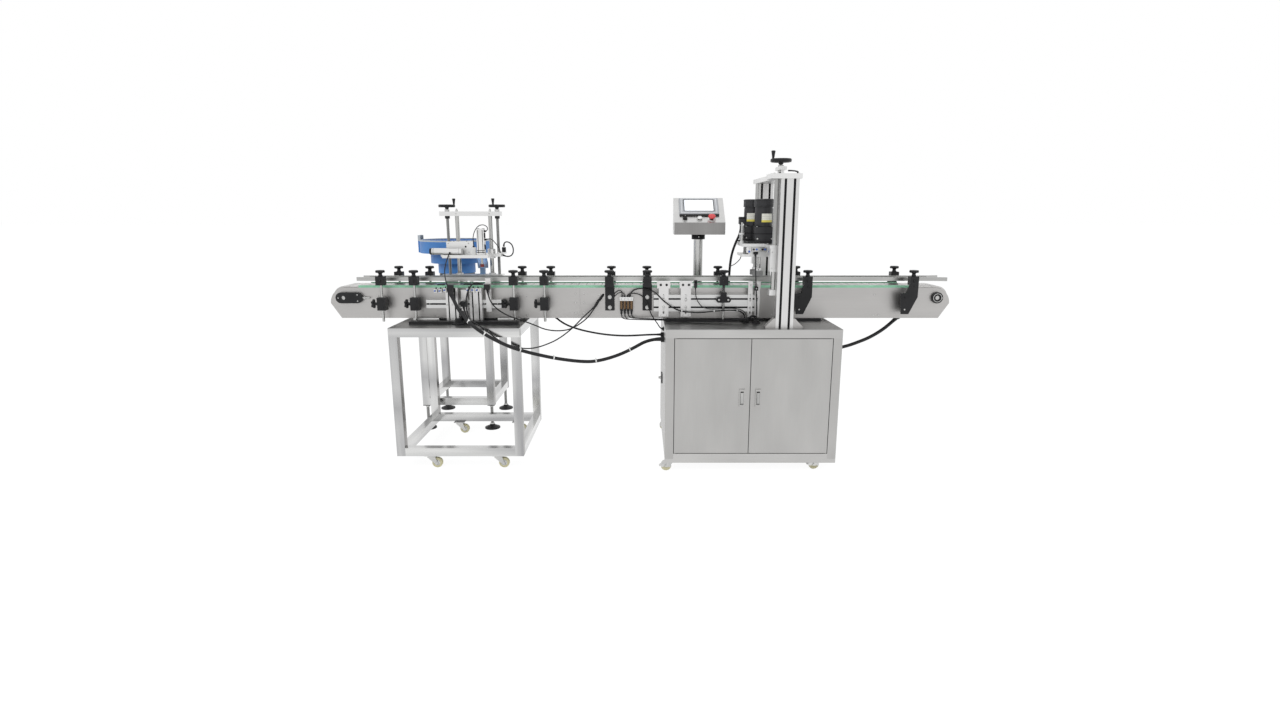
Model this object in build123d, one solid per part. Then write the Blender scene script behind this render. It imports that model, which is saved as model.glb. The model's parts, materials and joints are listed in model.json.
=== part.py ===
from build123d import *
import math
import os

# Bottle capping machine: a slat conveyor carried by a cart and a cabinet, a cap feeder over the
# cart with its vibratory bowl on a stand behind, and a screw capping head on the cabinet.
# Millimetres. +X runs along the line, +Y away from the operator, +Z up, and the floor is z = 0.

# Conveyor
CONVEYOR_LENGTH = 3000.0
LINE_LEFT = -CONVEYOR_LENGTH / 2
LINE_RIGHT = CONVEYOR_LENGTH / 2
CONVEYOR_WIDTH = 170.0
LANE_Y = -203.0
TABLE_TOP = 680.0
SPACER_HEIGHT = 12.0
PLATE_HEIGHT = 148.0
PLATE_THICKNESS = 4.0
END_RADIUS = 75.0
END_SLANT = 48.0
SEAM_X = -291.0
SEAM_GAP = 0.5
SHAFT_DROP = 48.0
IDLER_INSET = 68.0
DRIVE_INSET = 64.0
CROSSBAR_COUNT = 7
END_ROOM = 210.0
STRIP_INSET = 140.0

# Slat chain and the wear strips beside it
CHAIN_WIDTH = 152.4
CHAIN_THICKNESS = 8.0
CHAIN_RISE = 7.0
SLAT_PITCH = 38.1
SLAT_GAP = 2.0
STRIP_WIDTH = 8.0
STRIP_HEIGHT = 11.0
STRIP_RUNOUT = 10.0

# Guide rails and their supports
LANE_HALF_GAP = 38.0
RAIL_THICKNESS = 12.0
RAIL_HEIGHT = 18.0
RAIL_RISE = 38.0
RAIL_START = LINE_LEFT + 120.0
RAIL_END = LINE_RIGHT - 10.0
ROD_SIZE = 10.0
SUPPORT_REACH = 45.0
HEAD_SIZE = 40.0
HEAD_DEPTH = 36.0
KNOB_RADIUS = 23.0

# Cabinet under the right half of the conveyor
CABINET_LEFT = 115.0
CABINET_LENGTH = 800.0
CABINET_RIGHT = CABINET_LEFT + CABINET_LENGTH
CABINET_FRONT = -557.0
CABINET_BACK = 143.0
CABINET_SKIRT = 47.0
CASTER_HEIGHT = 66.0
FRAME_TUBE = 40.0
TUBE_WALL = 2.0
SHEET = 2.0
SILL_HEIGHT = 26.0
DOOR_SPLIT_X = CABINET_LEFT + 390.0
DOOR_DEPTH = 20.0
DOOR_GAP = 3.0
PIVOT_INSET = 4.0
PIVOT_RADIUS = 2.5
LATCH_Z = 362.0
LATCH_OFFSET = 37.0
LATCH_WIDTH = 25.0
LATCH_HEIGHT = 83.0
LATCH_FRAME = 5.0
LATCH_PIN = 1.4

# Cart under the left half of the conveyor
CART_INSET = 350.0
CART_LENGTH = 600.0
CART_LEFT = LINE_LEFT + CART_INSET
CART_RIGHT = CART_LEFT + CART_LENGTH
CART_FRONT = -520.0
CART_BACK = 80.0

# Stand of the vibratory bowl
STAND_LENGTH = 400.0
STAND_LEFT = CART_LEFT - 65.0
STAND_RIGHT = STAND_LEFT + STAND_LENGTH
STAND_FRONT = 108.0
STAND_BACK = 548.0
STAND_FOOT = 140.0
STAND_TOP = 700.0
PAD_RADIUS = 42.5

# Vibratory bowl
BOWL_X = CART_LEFT + 110.0
BOWL_Y = 330.0
BOWL_BASE = 862.0
BOWL_STEPS = ((102.0, 56.0), (140.0, 57.0), (195.0, 70.0))
BOWL_WALL = 4.0

# Cap feeder
FEEDER_Y = -90.0
FEEDER_BASE_Z = 876.0
FEEDER_BASE_THICKNESS = 12.0
FEEDER_LENGTH = 305.0
FEEDER_LEFT = CART_LEFT + 150.0
FEEDER_RIGHT = FEEDER_LEFT + FEEDER_LENGTH
POST_X = (FEEDER_LEFT + 83.0, FEEDER_RIGHT - 56.0)
LEG_X = (FEEDER_LEFT + 45.0, FEEDER_RIGHT - 45.0)
POST_RADIUS = 10.0
LEFT_SCREW_X = FEEDER_LEFT + 35.0
RIGHT_SCREW_X = FEEDER_RIGHT - 20.0
FEEDER_SCREW_RADIUS = 7.0
CROSSBAR_Z = 1178.0
CROSSBAR_HEIGHT = 22.0
CARRIAGE_Z = 978.0
CARRIAGE_THICKNESS = 15.0
PLACER_X = FEEDER_RIGHT - 81.0
GATE_LENGTH = 145.0
GATE_CAP = 10.0
GATE_RADIUS = 16.0
PLACER_ROD_RADIUS = 6.0
PLACER_TIP_Z = 933.0

# Gantry and capping head
COLUMN_X = CABINET_RIGHT - 260.0
COLUMN_WIDTH = 80.0
COLUMN_DEPTH = 40.0
COLUMN_REACH = 300.0
COLUMN_TOP = 1340.0
SLOT_PITCH = 40.0
SLOT_WIDTH = 8.0
GUIDE_X = COLUMN_X - 44.0
GUIDE_REACH = 255.0
GUIDE_RADIUS = 14.0
LIFT_X = COLUMN_X - 7.0
LIFT_Y = -330.0
LIFT_RADIUS = 8.0
HEAD_PLATE_Z = 1036.0
HEAD_PLATE_THICKNESS = 15.0
SPINDLE_X = GUIDE_X - 38.0
SPINDLE_REACH = 43.0
SPINDLE_RADIUS = 7.5
WHEEL_RADIUS = 25.0
WHEEL_Z = 892.0
MOTOR_FRAME = 90.0
MOTOR_RADIUS = 43.0
MOTOR_REACH = 58.0
MOTOR_SHIFT = 17.0

# Operator panel
PANEL_X = CABINET_LEFT + 190.0
PANEL_Y = 50.0
PANEL_POST_RADIUS = 24.0
PANEL_WIDTH = 260.0
PANEL_Z = 1084.0
PANEL_LIP = 61.0
PANEL_HEIGHT = 185.0
PANEL_FRONT = -40.0
PANEL_DEPTH = 150.0

# Rail supports, bars and sensor plates along the line
CLAMP_SUPPORTS = (LINE_LEFT + 267.0, CART_LEFT + 75.0, CART_RIGHT - 52.0, CART_RIGHT + 94.0)
FLAT_SUPPORTS = (CABINET_LEFT - 261.0, CABINET_LEFT - 80.0)
LEVER_SUPPORTS = (CABINET_LEFT + 283.0,)
CAST_SUPPORTS = (CABINET_RIGHT - 118.0, LINE_RIGHT - 200.0)
CART_SPACER = (CART_LEFT + 150.0, CART_RIGHT - 150.0)
LEFT_SPACER = (CABINET_LEFT + 15.0, CABINET_LEFT + 485.0)
RIGHT_SPACER = (CABINET_LEFT + 595.0, CABINET_RIGHT - 35.0)
LONG_BAR_X = CABINET_LEFT - 49.0
LONG_BAR_LENGTH = 500.0
SHORT_BAR_X = CART_LEFT + 125.0
SHORT_BAR_LENGTH = 360.0
BAR_CAP = 10.0
BAR_POSTS = (CART_LEFT + 257.0, CART_LEFT + 370.0)
CABLE_BAR_INSET = 25.0
CABLE_BAR_LENGTH = 515.0
SENSOR_PLATES = ((-2.0, 47.0, 63.0), (104.0, 49.0, 60.0), (412.0, 22.0, 22.0), (445.0, 24.0, 30.0))
MANIFOLD_X = CABINET_LEFT - 213.0
MANIFOLD_LENGTH = 65.0

# Clearances
RUNNING = 0.1
SOFT = 0.3

# Places worked out from the sizes above
PLATE_BOTTOM = TABLE_TOP + SPACER_HEIGHT
PLATE_TOP = PLATE_BOTTOM + PLATE_HEIGHT
FRONT_FACE = LANE_Y - CONVEYOR_WIDTH / 2
REAR_FACE = LANE_Y + CONVEYOR_WIDTH / 2
SHAFT_Z = PLATE_TOP - SHAFT_DROP
IDLER_X = IDLER_INSET - CONVEYOR_LENGTH / 2
DRIVE_X = CONVEYOR_LENGTH / 2 - DRIVE_INSET
CHAIN_TOP = PLATE_TOP + CHAIN_RISE
CHAIN_RADIUS = CHAIN_TOP - SHAFT_Z
SPROCKET_RADIUS = CHAIN_RADIUS - CHAIN_THICKNESS - SOFT
RAIL_Z = PLATE_TOP + RAIL_RISE
CABINET_INNER_LEFT = CABINET_LEFT + FRAME_TUBE
CABINET_INNER_RIGHT = CABINET_RIGHT - FRAME_TUBE
CABINET_INNER_FRONT = CABINET_FRONT + FRAME_TUBE
CABINET_INNER_BACK = CABINET_BACK - FRAME_TUBE
CABINET_FLOOR = CASTER_HEIGHT + SILL_HEIGHT
RAIL_UNDERSIDE = TABLE_TOP - SHEET - FRAME_TUBE + SHEET
FRONT_COLUMN_Y = LANE_Y - COLUMN_REACH
REAR_COLUMN_Y = LANE_Y + COLUMN_REACH
PANEL_TILT = math.degrees(math.atan2(PANEL_HEIGHT - PANEL_LIP, PANEL_DEPTH))


def block(x0, x1, y0, y1, z0, z1):
    """A box between two corners."""
    middle = Pos((x0 + x1) / 2, (y0 + y1) / 2, (z0 + z1) / 2)
    return middle * Box(x1 - x0, y1 - y0, z1 - z0)


def rod_x(x0, x1, y, z, radius):
    """A round bar along X."""
    return Pos((x0 + x1) / 2, y, z) * Rot(0, 90, 0) * Cylinder(radius, x1 - x0)


def rod_y(x, y0, y1, z, radius):
    """A round bar along Y."""
    return Pos(x, (y0 + y1) / 2, z) * Rot(90, 0, 0) * Cylinder(radius, y1 - y0)


def rod_z(x, y, z0, z1, radius):
    """A round bar along Z."""
    return Pos(x, y, (z0 + z1) / 2) * Cylinder(radius, z1 - z0)


def taper_z(x, y, z0, z1, low, high):
    """A round taper along Z."""
    return Pos(x, y, (z0 + z1) / 2) * Cone(low, high, z1 - z0)


def across_y(face, y0, y1):
    """A face drawn in X and Z, given its thickness from y0 to y1."""
    plane = Plane(origin=(0, y1, 0), x_dir=(1, 0, 0), z_dir=(0, -1, 0))
    return extrude(plane * face, y1 - y0, dir=(0, -1, 0))


def across_x(face, x0, x1):
    """A face drawn in Y and Z, given its thickness from x0 to x1."""
    plane = Plane(origin=(x0, 0, 0), x_dir=(0, 1, 0), z_dir=(1, 0, 0))
    return extrude(plane * face, x1 - x0, dir=(1, 0, 0))


def upright(face, z0, z1):
    """A face drawn in X and Y, given its height from z0 to z1."""
    return extrude(Plane.XY.offset(z0) * face, z1 - z0, dir=(0, 0, 1))


def outline(*points):
    """A straight-sided face through the given points."""
    return Polygon(*points, align=None)


def tube_x(x0, x1, y0, y1, z0, z1, wall=TUBE_WALL):
    """A rectangular tube along X, open at both ends."""
    return block(x0, x1, y0, y1, z0, z1) - block(x0, x1, y0 + wall, y1 - wall, z0 + wall, z1 - wall)


def tube_y(x0, x1, y0, y1, z0, z1, wall=TUBE_WALL):
    """A rectangular tube along Y, open at both ends."""
    return block(x0, x1, y0, y1, z0, z1) - block(x0 + wall, x1 - wall, y0, y1, z0 + wall, z1 - wall)


def tube_z(x0, x1, y0, y1, z0, z1, wall=TUBE_WALL):
    """A rectangular tube along Z, open at both ends."""
    return block(x0, x1, y0, y1, z0, z1) - block(x0 + wall, x1 - wall, y0 + wall, y1 - wall, z0, z1)


def lobed(radius, lobes, dip):
    """A star-shaped grip outline with straight flanks between its lobes."""
    points = []
    for step in range(2 * lobes):
        reach = radius if step % 2 == 0 else radius - dip
        turn = math.pi * step / lobes
        points.append((reach * math.cos(turn), reach * math.sin(turn)))
    return outline(*points)


def slotted(width, depth):
    """The section of a slotted extrusion: one undercut slot for each slot pitch on every side."""
    section = Rectangle(width, depth)
    mouth = 4.5
    chamber = 6.0
    cuts = []
    for size, turn, reach in ((width, 0, depth / 2), (depth, 90, width / 2)):
        count = int(size / SLOT_PITCH)
        for place in range(count):
            along = (place - (count - 1) / 2) * SLOT_PITCH
            for side in (0, 180):
                slot = Pos(along, reach - mouth / 2) * Rectangle(SLOT_WIDTH, mouth)
                slot += Pos(along, reach - mouth - chamber / 2) * Rectangle(2 * SLOT_WIDTH, chamber)
                cuts.append(Rot(0, 0, turn + side) * slot)
    return section - cuts


def mirrored(solid):
    """The same piece on the other side of the lane."""
    return mirror(solid, about=Plane(origin=(0, LANE_Y, 0), z_dir=(0, 1, 0)))


# Conveyor


def side_plate_face():
    """A side plate: square along its length, with a rounded nose and a slanted foot at each end."""
    half = CONVEYOR_LENGTH / 2
    bend = END_RADIUS * (1 - math.sqrt(0.5))
    nose = PLATE_TOP - END_RADIUS
    lines = Line((-half + END_SLANT, PLATE_BOTTOM), (half - END_SLANT, PLATE_BOTTOM))
    lines += Line((half - END_SLANT, PLATE_BOTTOM), (half, nose))
    lines += ThreePointArc((half, nose), (half - bend, PLATE_TOP - bend), (half - END_RADIUS, PLATE_TOP))
    lines += Line((half - END_RADIUS, PLATE_TOP), (-half + END_RADIUS, PLATE_TOP))
    lines += ThreePointArc((-half + END_RADIUS, PLATE_TOP), (-half + bend, PLATE_TOP - bend), (-half, nose))
    lines += Line((-half, nose), (-half + END_SLANT, PLATE_BOTTOM))
    return make_face(lines)


def side_plates():
    """Two plates a side with a seam between them, splice plates behind the seam and the cross bars."""
    shaft_hole = 14.0
    face = side_plate_face()
    for x in (IDLER_X, DRIVE_X):
        face -= Pos(x, SHAFT_Z) * Circle(shaft_hole)
    face -= Pos(SEAM_X, PLATE_BOTTOM + PLATE_HEIGHT / 2) * Rectangle(SEAM_GAP, PLATE_HEIGHT + 2)
    front = across_y(face, FRONT_FACE, FRONT_FACE + PLATE_THICKNESS)
    inner = FRONT_FACE + PLATE_THICKNESS
    splice = block(SEAM_X - 40, SEAM_X + 40, inner, inner + 3, PLATE_BOTTOM + 10, PLATE_TOP - 12)
    solids = front.solids() + mirrored(front).solids() + [splice, mirrored(splice)]
    slide_top = CHAIN_TOP - CHAIN_THICKNESS - SOFT
    for step in range(CROSSBAR_COUNT):
        x = (LINE_RIGHT - END_ROOM) * (2 * step / (CROSSBAR_COUNT - 1) - 1)
        for z0, z1 in ((slide_top - 52, slide_top - 12), (PLATE_BOTTOM + 5, PLATE_BOTTOM + 25)):
            solids.append(block(x - 10, x + 10, inner, 2 * LANE_Y - inner, z0, z1))
    for side in (-1, 1):
        y = LANE_Y + side * CHAIN_WIDTH * 0.3
        ends = SPROCKET_RADIUS + 12
        solids.append(block(IDLER_X + ends, DRIVE_X - ends, y - 6, y + 6, slide_top - 12, slide_top))
    return solids


def slat_chain():
    """The chain as a carrying run, a return run and the two half turns round the sprockets."""
    middle = (IDLER_X + DRIVE_X) / 2
    run = DRIVE_X - IDLER_X

    def loop(radius):
        shape = Pos(middle, SHAFT_Z) * Rectangle(run, 2 * radius)
        for x in (IDLER_X, DRIVE_X):
            shape += Pos(x, SHAFT_Z) * Circle(radius)
        return shape

    ring = loop(CHAIN_RADIUS) - loop(CHAIN_RADIUS - CHAIN_THICKNESS)
    gap_depth = 3.0
    count = int(run / SLAT_PITCH)
    gaps = []
    for step in range(count):
        x = middle + (step - (count - 1) / 2) * SLAT_PITCH
        gaps.append(Pos(x, CHAIN_TOP - gap_depth / 2) * Rectangle(SLAT_GAP, gap_depth))
    ring -= gaps
    reach = CHAIN_RADIUS + 1
    regions = (
        (IDLER_X, DRIVE_X, SHAFT_Z, SHAFT_Z + reach),
        (IDLER_X, DRIVE_X, SHAFT_Z - reach, SHAFT_Z),
        (IDLER_X - reach, IDLER_X, SHAFT_Z - reach, SHAFT_Z + reach),
        (DRIVE_X, DRIVE_X + reach, SHAFT_Z - reach, SHAFT_Z + reach),
    )
    solids = []
    for x0, x1, z0, z1 in regions:
        window = Pos((x0 + x1) / 2, (z0 + z1) / 2) * Rectangle(x1 - x0, z1 - z0)
        solids.append(across_y(ring & window, LANE_Y - CHAIN_WIDTH / 2, LANE_Y + CHAIN_WIDTH / 2))
    return solids


def wear_strips():
    """A green strip along the top edge of each side plate."""
    x0 = LINE_LEFT + STRIP_INSET
    x1 = LINE_RIGHT - END_ROOM + STRIP_RUNOUT
    front = block(x0, x1, FRONT_FACE, FRONT_FACE + STRIP_WIDTH, PLATE_TOP, PLATE_TOP + STRIP_HEIGHT)
    return [front, mirrored(front)]


def conveyor_mounts():
    """Black spacer bars under both side plates, on the cart and on the cabinet."""
    solids = []
    for x0, x1 in (CART_SPACER, LEFT_SPACER, RIGHT_SPACER):
        y0 = FRONT_FACE - 10
        bar = block(x0, x1, y0, y0 + 32, TABLE_TOP, PLATE_BOTTOM)
        solids += [bar, mirrored(bar)]
    return solids


def end_bearings():
    """Take-up blocks with their screws at the idler end and flanged bearings at the drive end."""
    shaft = 10.0
    length = 128.0
    height = 52.0
    depth = 18.0
    middle = IDLER_X + 28
    face = Pos(middle, SHAFT_Z) * SlotOverall(length, height)
    face -= Pos(IDLER_X, SHAFT_Z) * Circle(shaft + RUNNING)
    take_up = across_y(face, FRONT_FACE - depth, FRONT_FACE)
    end = middle + length / 2
    screw = rod_x(end, end + 35, FRONT_FACE - depth / 2, SHAFT_Z, 4)
    ring = Circle(27) - Circle(shaft + RUNNING)
    ring_depth = 14.0
    bearing = across_y(Pos(DRIVE_X, SHAFT_Z) * ring, FRONT_FACE - ring_depth, FRONT_FACE)
    solids = []
    for piece in (take_up, screw, bearing):
        solids += [piece, mirrored(piece)]
    return solids


def shaft_with(x, discs, reach):
    """A round shaft across the conveyor with the given discs round it."""
    shaft = 10.0
    solid = rod_y(x, FRONT_FACE - reach, REAR_FACE + reach, SHAFT_Z, shaft)
    for y0, y1, face in discs:
        solid += across_y(Pos(x, SHAFT_Z) * face, y0, y1)
    return solid


def idler_roller():
    """The idler: two plain wheels on one shaft."""
    discs = []
    for side in (-1, 1):
        y = LANE_Y + side * CHAIN_WIDTH * 0.28
        discs.append((y - 16, y + 16, Circle(SPROCKET_RADIUS)))
    return [shaft_with(IDLER_X, discs, 12.0)]


def drive_roller():
    """The drive shaft: two toothed sprockets on one shaft."""
    teeth = 12
    discs = []
    for side in (-1, 1):
        y = LANE_Y + side * CHAIN_WIDTH * 0.28
        discs.append((y - 10, y + 10, lobed(SPROCKET_RADIUS, teeth, 8.0)))
    return [shaft_with(DRIVE_X, discs, 12.0)]


def conveyor_motor():
    """The gearmotor behind the drive end, on a plate that stands off on four spacers."""
    drop = 18.0
    z = SHAFT_Z - drop
    plate_y = REAR_FACE + 14
    half = MOTOR_FRAME / 2
    solids = [block(DRIVE_X - half, DRIVE_X + half, plate_y, plate_y + 6, z - half, z + half)]
    for dx in (-36, 36):
        for dz in (-36, 30):
            solids.append(rod_y(DRIVE_X + dx, REAR_FACE, plate_y, z + dz, 5))
    gear_y = plate_y + 6
    body_y = gear_y + 60
    motor = block(DRIVE_X - half, DRIVE_X + half, gear_y, body_y, z - half, z + half)
    motor += rod_y(DRIVE_X, body_y, body_y + 90, z, MOTOR_RADIUS)
    motor += rod_y(DRIVE_X, body_y + 90, body_y + 120, z, MOTOR_RADIUS + 3)
    solids.append(motor)
    return solids


# Guide rails


def rail_with_rods(joint_gap):
    """The front rail: a bar with a flared end, and a square rod out to each support."""
    inner = LANE_Y - LANE_HALF_GAP
    outer = inner - RAIL_THICKNESS
    flare = 60.0
    spread = 14.0
    low = RAIL_Z - RAIL_HEIGHT / 2
    high = RAIL_Z + RAIL_HEIGHT / 2
    bar = outline(
        (RAIL_START, outer),
        (RAIL_END - flare, outer),
        (RAIL_END, outer - spread),
        (RAIL_END, inner - spread),
        (RAIL_END - flare, inner),
        (RAIL_START, inner),
    )
    rail = upright(bar, low, high)
    tip = FRONT_FACE - SUPPORT_REACH - HEAD_DEPTH / 2 - 5
    half = ROD_SIZE / 2
    for x in CLAMP_SUPPORTS + FLAT_SUPPORTS + LEVER_SUPPORTS + CAST_SUPPORTS:
        rail += block(x - half, x + half, tip, outer, RAIL_Z - half, RAIL_Z + half)
    if joint_gap:
        rail -= block(SEAM_X - 10, SEAM_X - 10 + joint_gap, outer - 1, inner + 1, low - 1, high + 1)
    return rail


def rod_passage(x):
    """The square hole of a support head, clear of the rod by the running clearance."""
    half = ROD_SIZE / 2 + RUNNING
    y = FRONT_FACE - SUPPORT_REACH
    return block(x - half, x + half, y - HEAD_DEPTH, y + HEAD_DEPTH, RAIL_Z - half, RAIL_Z + half)


def head_block(x):
    """The clamp head that holds one rod of the rail."""
    y = FRONT_FACE - SUPPORT_REACH
    half = HEAD_SIZE / 2
    return block(x - half, x + half, y - HEAD_DEPTH / 2, y + HEAD_DEPTH / 2, RAIL_Z - half - 1, RAIL_Z + half + 1)


def clamp_support(x):
    """A head on a round post, held to the side plate by a cross clamp."""
    y = FRONT_FACE - SUPPORT_REACH
    post_radius = 6.0
    low = RAIL_Z - HEAD_SIZE / 2 - 1
    post = rod_z(x, y, TABLE_TOP + 2, low, post_radius)
    clamp = block(x - 20, x + 20, y - 19, y + 19, PLATE_BOTTOM + 45, PLATE_BOTTOM + 106)
    clamp += block(x - 12, x + 12, y + 19, FRONT_FACE, PLATE_BOTTOM + 62, PLATE_BOTTOM + 90)
    clamp -= rod_z(x, y, PLATE_BOTTOM, PLATE_TOP, post_radius)
    return [head_block(x) - rod_passage(x), clamp, post]


def flat_support(x):
    """A flat slotted plate on the side plate, with the head on top of it."""
    y = FRONT_FACE - SUPPORT_REACH
    width = 45.0
    low = PLATE_BOTTOM + 38
    top = RAIL_Z - HEAD_SIZE / 2 - 1
    face = Pos(x, (low + top) / 2) * Rectangle(width, top - low)
    for z in (PLATE_BOTTOM + 53, PLATE_BOTTOM + 103):
        face -= Pos(x, z) * SlotOverall(24, 10, 90)
    plate = across_y(face, FRONT_FACE - 8, FRONT_FACE)
    shelf = block(x - width / 2, x + width / 2, y - HEAD_DEPTH / 2, FRONT_FACE, top - 8, top)
    return [head_block(x) - rod_passage(x), plate + shelf]


def lever_support(x):
    """A head on a thin post through a two-eyed clamp."""
    outward = 8.0
    y = FRONT_FACE - SUPPORT_REACH - outward
    post_radius = 6.0
    low = RAIL_Z - HEAD_SIZE / 2 - 1
    post = rod_z(x, y, TABLE_TOP, low, post_radius)
    clamp = across_y(Pos(x, PLATE_BOTTOM + 96) * SlotOverall(70, 26), y - 11, y + 11)
    clamp += block(x - 14, x + 14, y - 11, y + 11, PLATE_BOTTOM + 96, PLATE_TOP - 18)
    clamp += block(x - 14, x + 14, y + 11, FRONT_FACE, PLATE_TOP - 28, PLATE_TOP - 18)
    clamp -= rod_z(x, y, PLATE_BOTTOM, PLATE_TOP + 5, post_radius)
    return [head_block(x) - rod_passage(x), clamp, post]


def cast_support(x):
    """A moulded bracket: a wide foot on the side plate that narrows up to the head."""
    y = FRONT_FACE - SUPPORT_REACH
    top = RAIL_Z + HEAD_SIZE / 2 + 1
    face = outline(
        (x - 52, PLATE_BOTTOM + 28),
        (x - 18, PLATE_BOTTOM + 28),
        (x + 20, PLATE_BOTTOM + 110),
        (x + 20, top),
        (x - 20, top),
        (x - 20, PLATE_TOP - 18),
        (x - 62, PLATE_TOP - 22),
    )
    web = across_y(face, y - HEAD_DEPTH / 2, y - HEAD_DEPTH / 2 + 10)
    head = head_block(x)
    side = outline(
        (y - HEAD_DEPTH / 2, PLATE_BOTTOM + 28),
        (FRONT_FACE, PLATE_BOTTOM + 28),
        (FRONT_FACE, PLATE_BOTTOM + 90),
        (y - HEAD_DEPTH / 2, RAIL_Z - 20),
    )
    rib = across_x(side, x - 26, x - 18)
    return [web + head + rib - rod_passage(x)]


def rail_supports():
    """Every support on both sides of the conveyor: the brackets and the posts they stand on."""
    kinds = (
        (clamp_support, CLAMP_SUPPORTS),
        (flat_support, FLAT_SUPPORTS),
        (lever_support, LEVER_SUPPORTS),
        (cast_support, CAST_SUPPORTS),
    )
    solids = []
    for build, places in kinds:
        for x in places:
            front = build(x)
            solids += front + [mirrored(piece) for piece in front]
    return solids


def clamp_knobs():
    """A lobed knob on each head, and a star knob on the left of each cross clamp."""
    y = FRONT_FACE - SUPPORT_REACH
    top = RAIL_Z + HEAD_SIZE / 2 + 1
    solids = []
    for x in CLAMP_SUPPORTS + FLAT_SUPPORTS + LEVER_SUPPORTS + CAST_SUPPORTS:
        knob = upright(Pos(x, y) * lobed(KNOB_RADIUS, 8, 3.0), top + 17, top + 29)
        knob += upright(Pos(x, y) * RegularPolygon(10, 8), top, top + 17)
        solids += [knob, mirrored(knob)]
    for x in CLAMP_SUPPORTS:
        z = PLATE_BOTTOM + 75
        star = across_x(Pos(y, z) * lobed(KNOB_RADIUS, 5, 10.0), x - 50, x - 36)
        star += across_x(Pos(y, z) * RegularPolygon(8, 8), x - 36, x - 20)
        solids += [star, mirrored(star)]
    return solids


# Slotted bars along the front of the conveyor


def slot_bars():
    """Slotted extrusions on the front of the side plate and the posts that stand before them."""
    front = FRONT_FACE - SLOT_PITCH
    middle = FRONT_FACE - SLOT_PITCH / 2
    long_bar = Plane(origin=(LONG_BAR_X, middle, PLATE_BOTTOM + 78), x_dir=(0, 0, 1), z_dir=(1, 0, 0))
    short_z = PLATE_BOTTOM + 74
    short_bar = Plane(origin=(SHORT_BAR_X, middle, short_z), x_dir=(0, 0, 1), z_dir=(1, 0, 0))
    end = SHORT_BAR_X + SHORT_BAR_LENGTH
    half = SLOT_PITCH / 2
    solids = [
        extrude(long_bar * slotted(2 * SLOT_PITCH, SLOT_PITCH), LONG_BAR_LENGTH),
        extrude(short_bar * slotted(SLOT_PITCH, SLOT_PITCH), SHORT_BAR_LENGTH),
        block(end, end + BAR_CAP, front, FRONT_FACE, short_z - half, short_z + half),
    ]
    post_face = Rectangle(58, 30)
    for place in (-15, 15):
        post_face -= Pos(place, -11) * Rectangle(6, 8)
    for x in BAR_POSTS:
        solids.append(upright(Pos(x, front - 15) * post_face, TABLE_TOP, PLATE_BOTTOM + 153))
    left, right = BAR_POSTS
    solids.append(block(left + 40, left + 70, front - 12, front, PLATE_BOTTOM + 43, PLATE_BOTTOM + 143))
    solids.append(block(right + 45, right + 70, front - 12, front, PLATE_BOTTOM + 38, PLATE_BOTTOM + 198))
    x1 = CART_RIGHT - CABLE_BAR_INSET
    solids.append(block(x1 - CABLE_BAR_LENGTH, x1, front - 76, front - 36, TABLE_TOP, PLATE_BOTTOM))
    return solids


def sensor_plates():
    """Slotted aluminium plates with wider heads that carry the bottle sensors."""
    front = FRONT_FACE - SLOT_PITCH
    low = PLATE_BOTTOM + 14
    solids = []
    for offset, width, head in SENSOR_PLATES:
        x = CABINET_LEFT + offset
        face = Pos(x, low + 70) * Rectangle(width, 140)
        face += Pos(x, low + 152) * Rectangle(head, 34)
        for z in (30, 90):
            face -= Pos(x, low + z) * SlotOverall(34, 8, 90)
        solids.append(across_y(face, front - 6, front))
    return solids


def air_manifold():
    """The four-way air block on the side plate: a white head over four brass-coloured barrels."""
    x0 = MANIFOLD_X
    x1 = MANIFOLD_X + MANIFOLD_LENGTH
    head_z = PLATE_BOTTOM + 88
    y = FRONT_FACE - 16
    solids = [block(x0, x1, FRONT_FACE - 32, FRONT_FACE, head_z, head_z + 18)]
    pitch = (x1 - x0) / 4
    for step in range(4):
        solids.append(rod_z(x0 + pitch * (step + 0.5), y, head_z - 52, head_z, 7))
    return solids


# Cabinet


def cabinet_frame():
    """The welded tubes of the cabinet: posts, top rails and bottom rails, and the front skirt."""
    rail_top = TABLE_TOP - SHEET
    rail_low = rail_top - FRAME_TUBE + SHEET
    solids = []
    for x0 in (CABINET_LEFT, CABINET_INNER_RIGHT):
        for y0 in (CABINET_FRONT, CABINET_INNER_BACK):
            solids.append(tube_z(x0, x0 + FRAME_TUBE, y0, y0 + FRAME_TUBE, CASTER_HEIGHT, rail_low))
        for z0, z1 in ((rail_low, rail_top), (CASTER_HEIGHT, CABINET_FLOOR)):
            solids.append(tube_y(x0, x0 + FRAME_TUBE, CABINET_INNER_FRONT, CABINET_INNER_BACK, z0, z1))
    for y0 in (CABINET_FRONT, CABINET_INNER_BACK):
        top = tube_x(CABINET_LEFT, CABINET_RIGHT, y0, y0 + FRAME_TUBE, rail_low, rail_top)
        sill = tube_x(CABINET_INNER_LEFT, CABINET_INNER_RIGHT, y0, y0 + FRAME_TUBE, CASTER_HEIGHT, CABINET_FLOOR)
        if y0 == CABINET_FRONT:
            for x in door_pivots():
                hole = rod_z(x, CABINET_FRONT + PIVOT_INSET, CASTER_HEIGHT, TABLE_TOP, PIVOT_RADIUS + RUNNING)
                top -= hole
                sill -= hole
        solids += [top, sill]
    solids.append(block(CABINET_LEFT, CABINET_RIGHT, CABINET_FRONT, CABINET_FRONT + 3, CABINET_SKIRT, CASTER_HEIGHT))
    return solids


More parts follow.
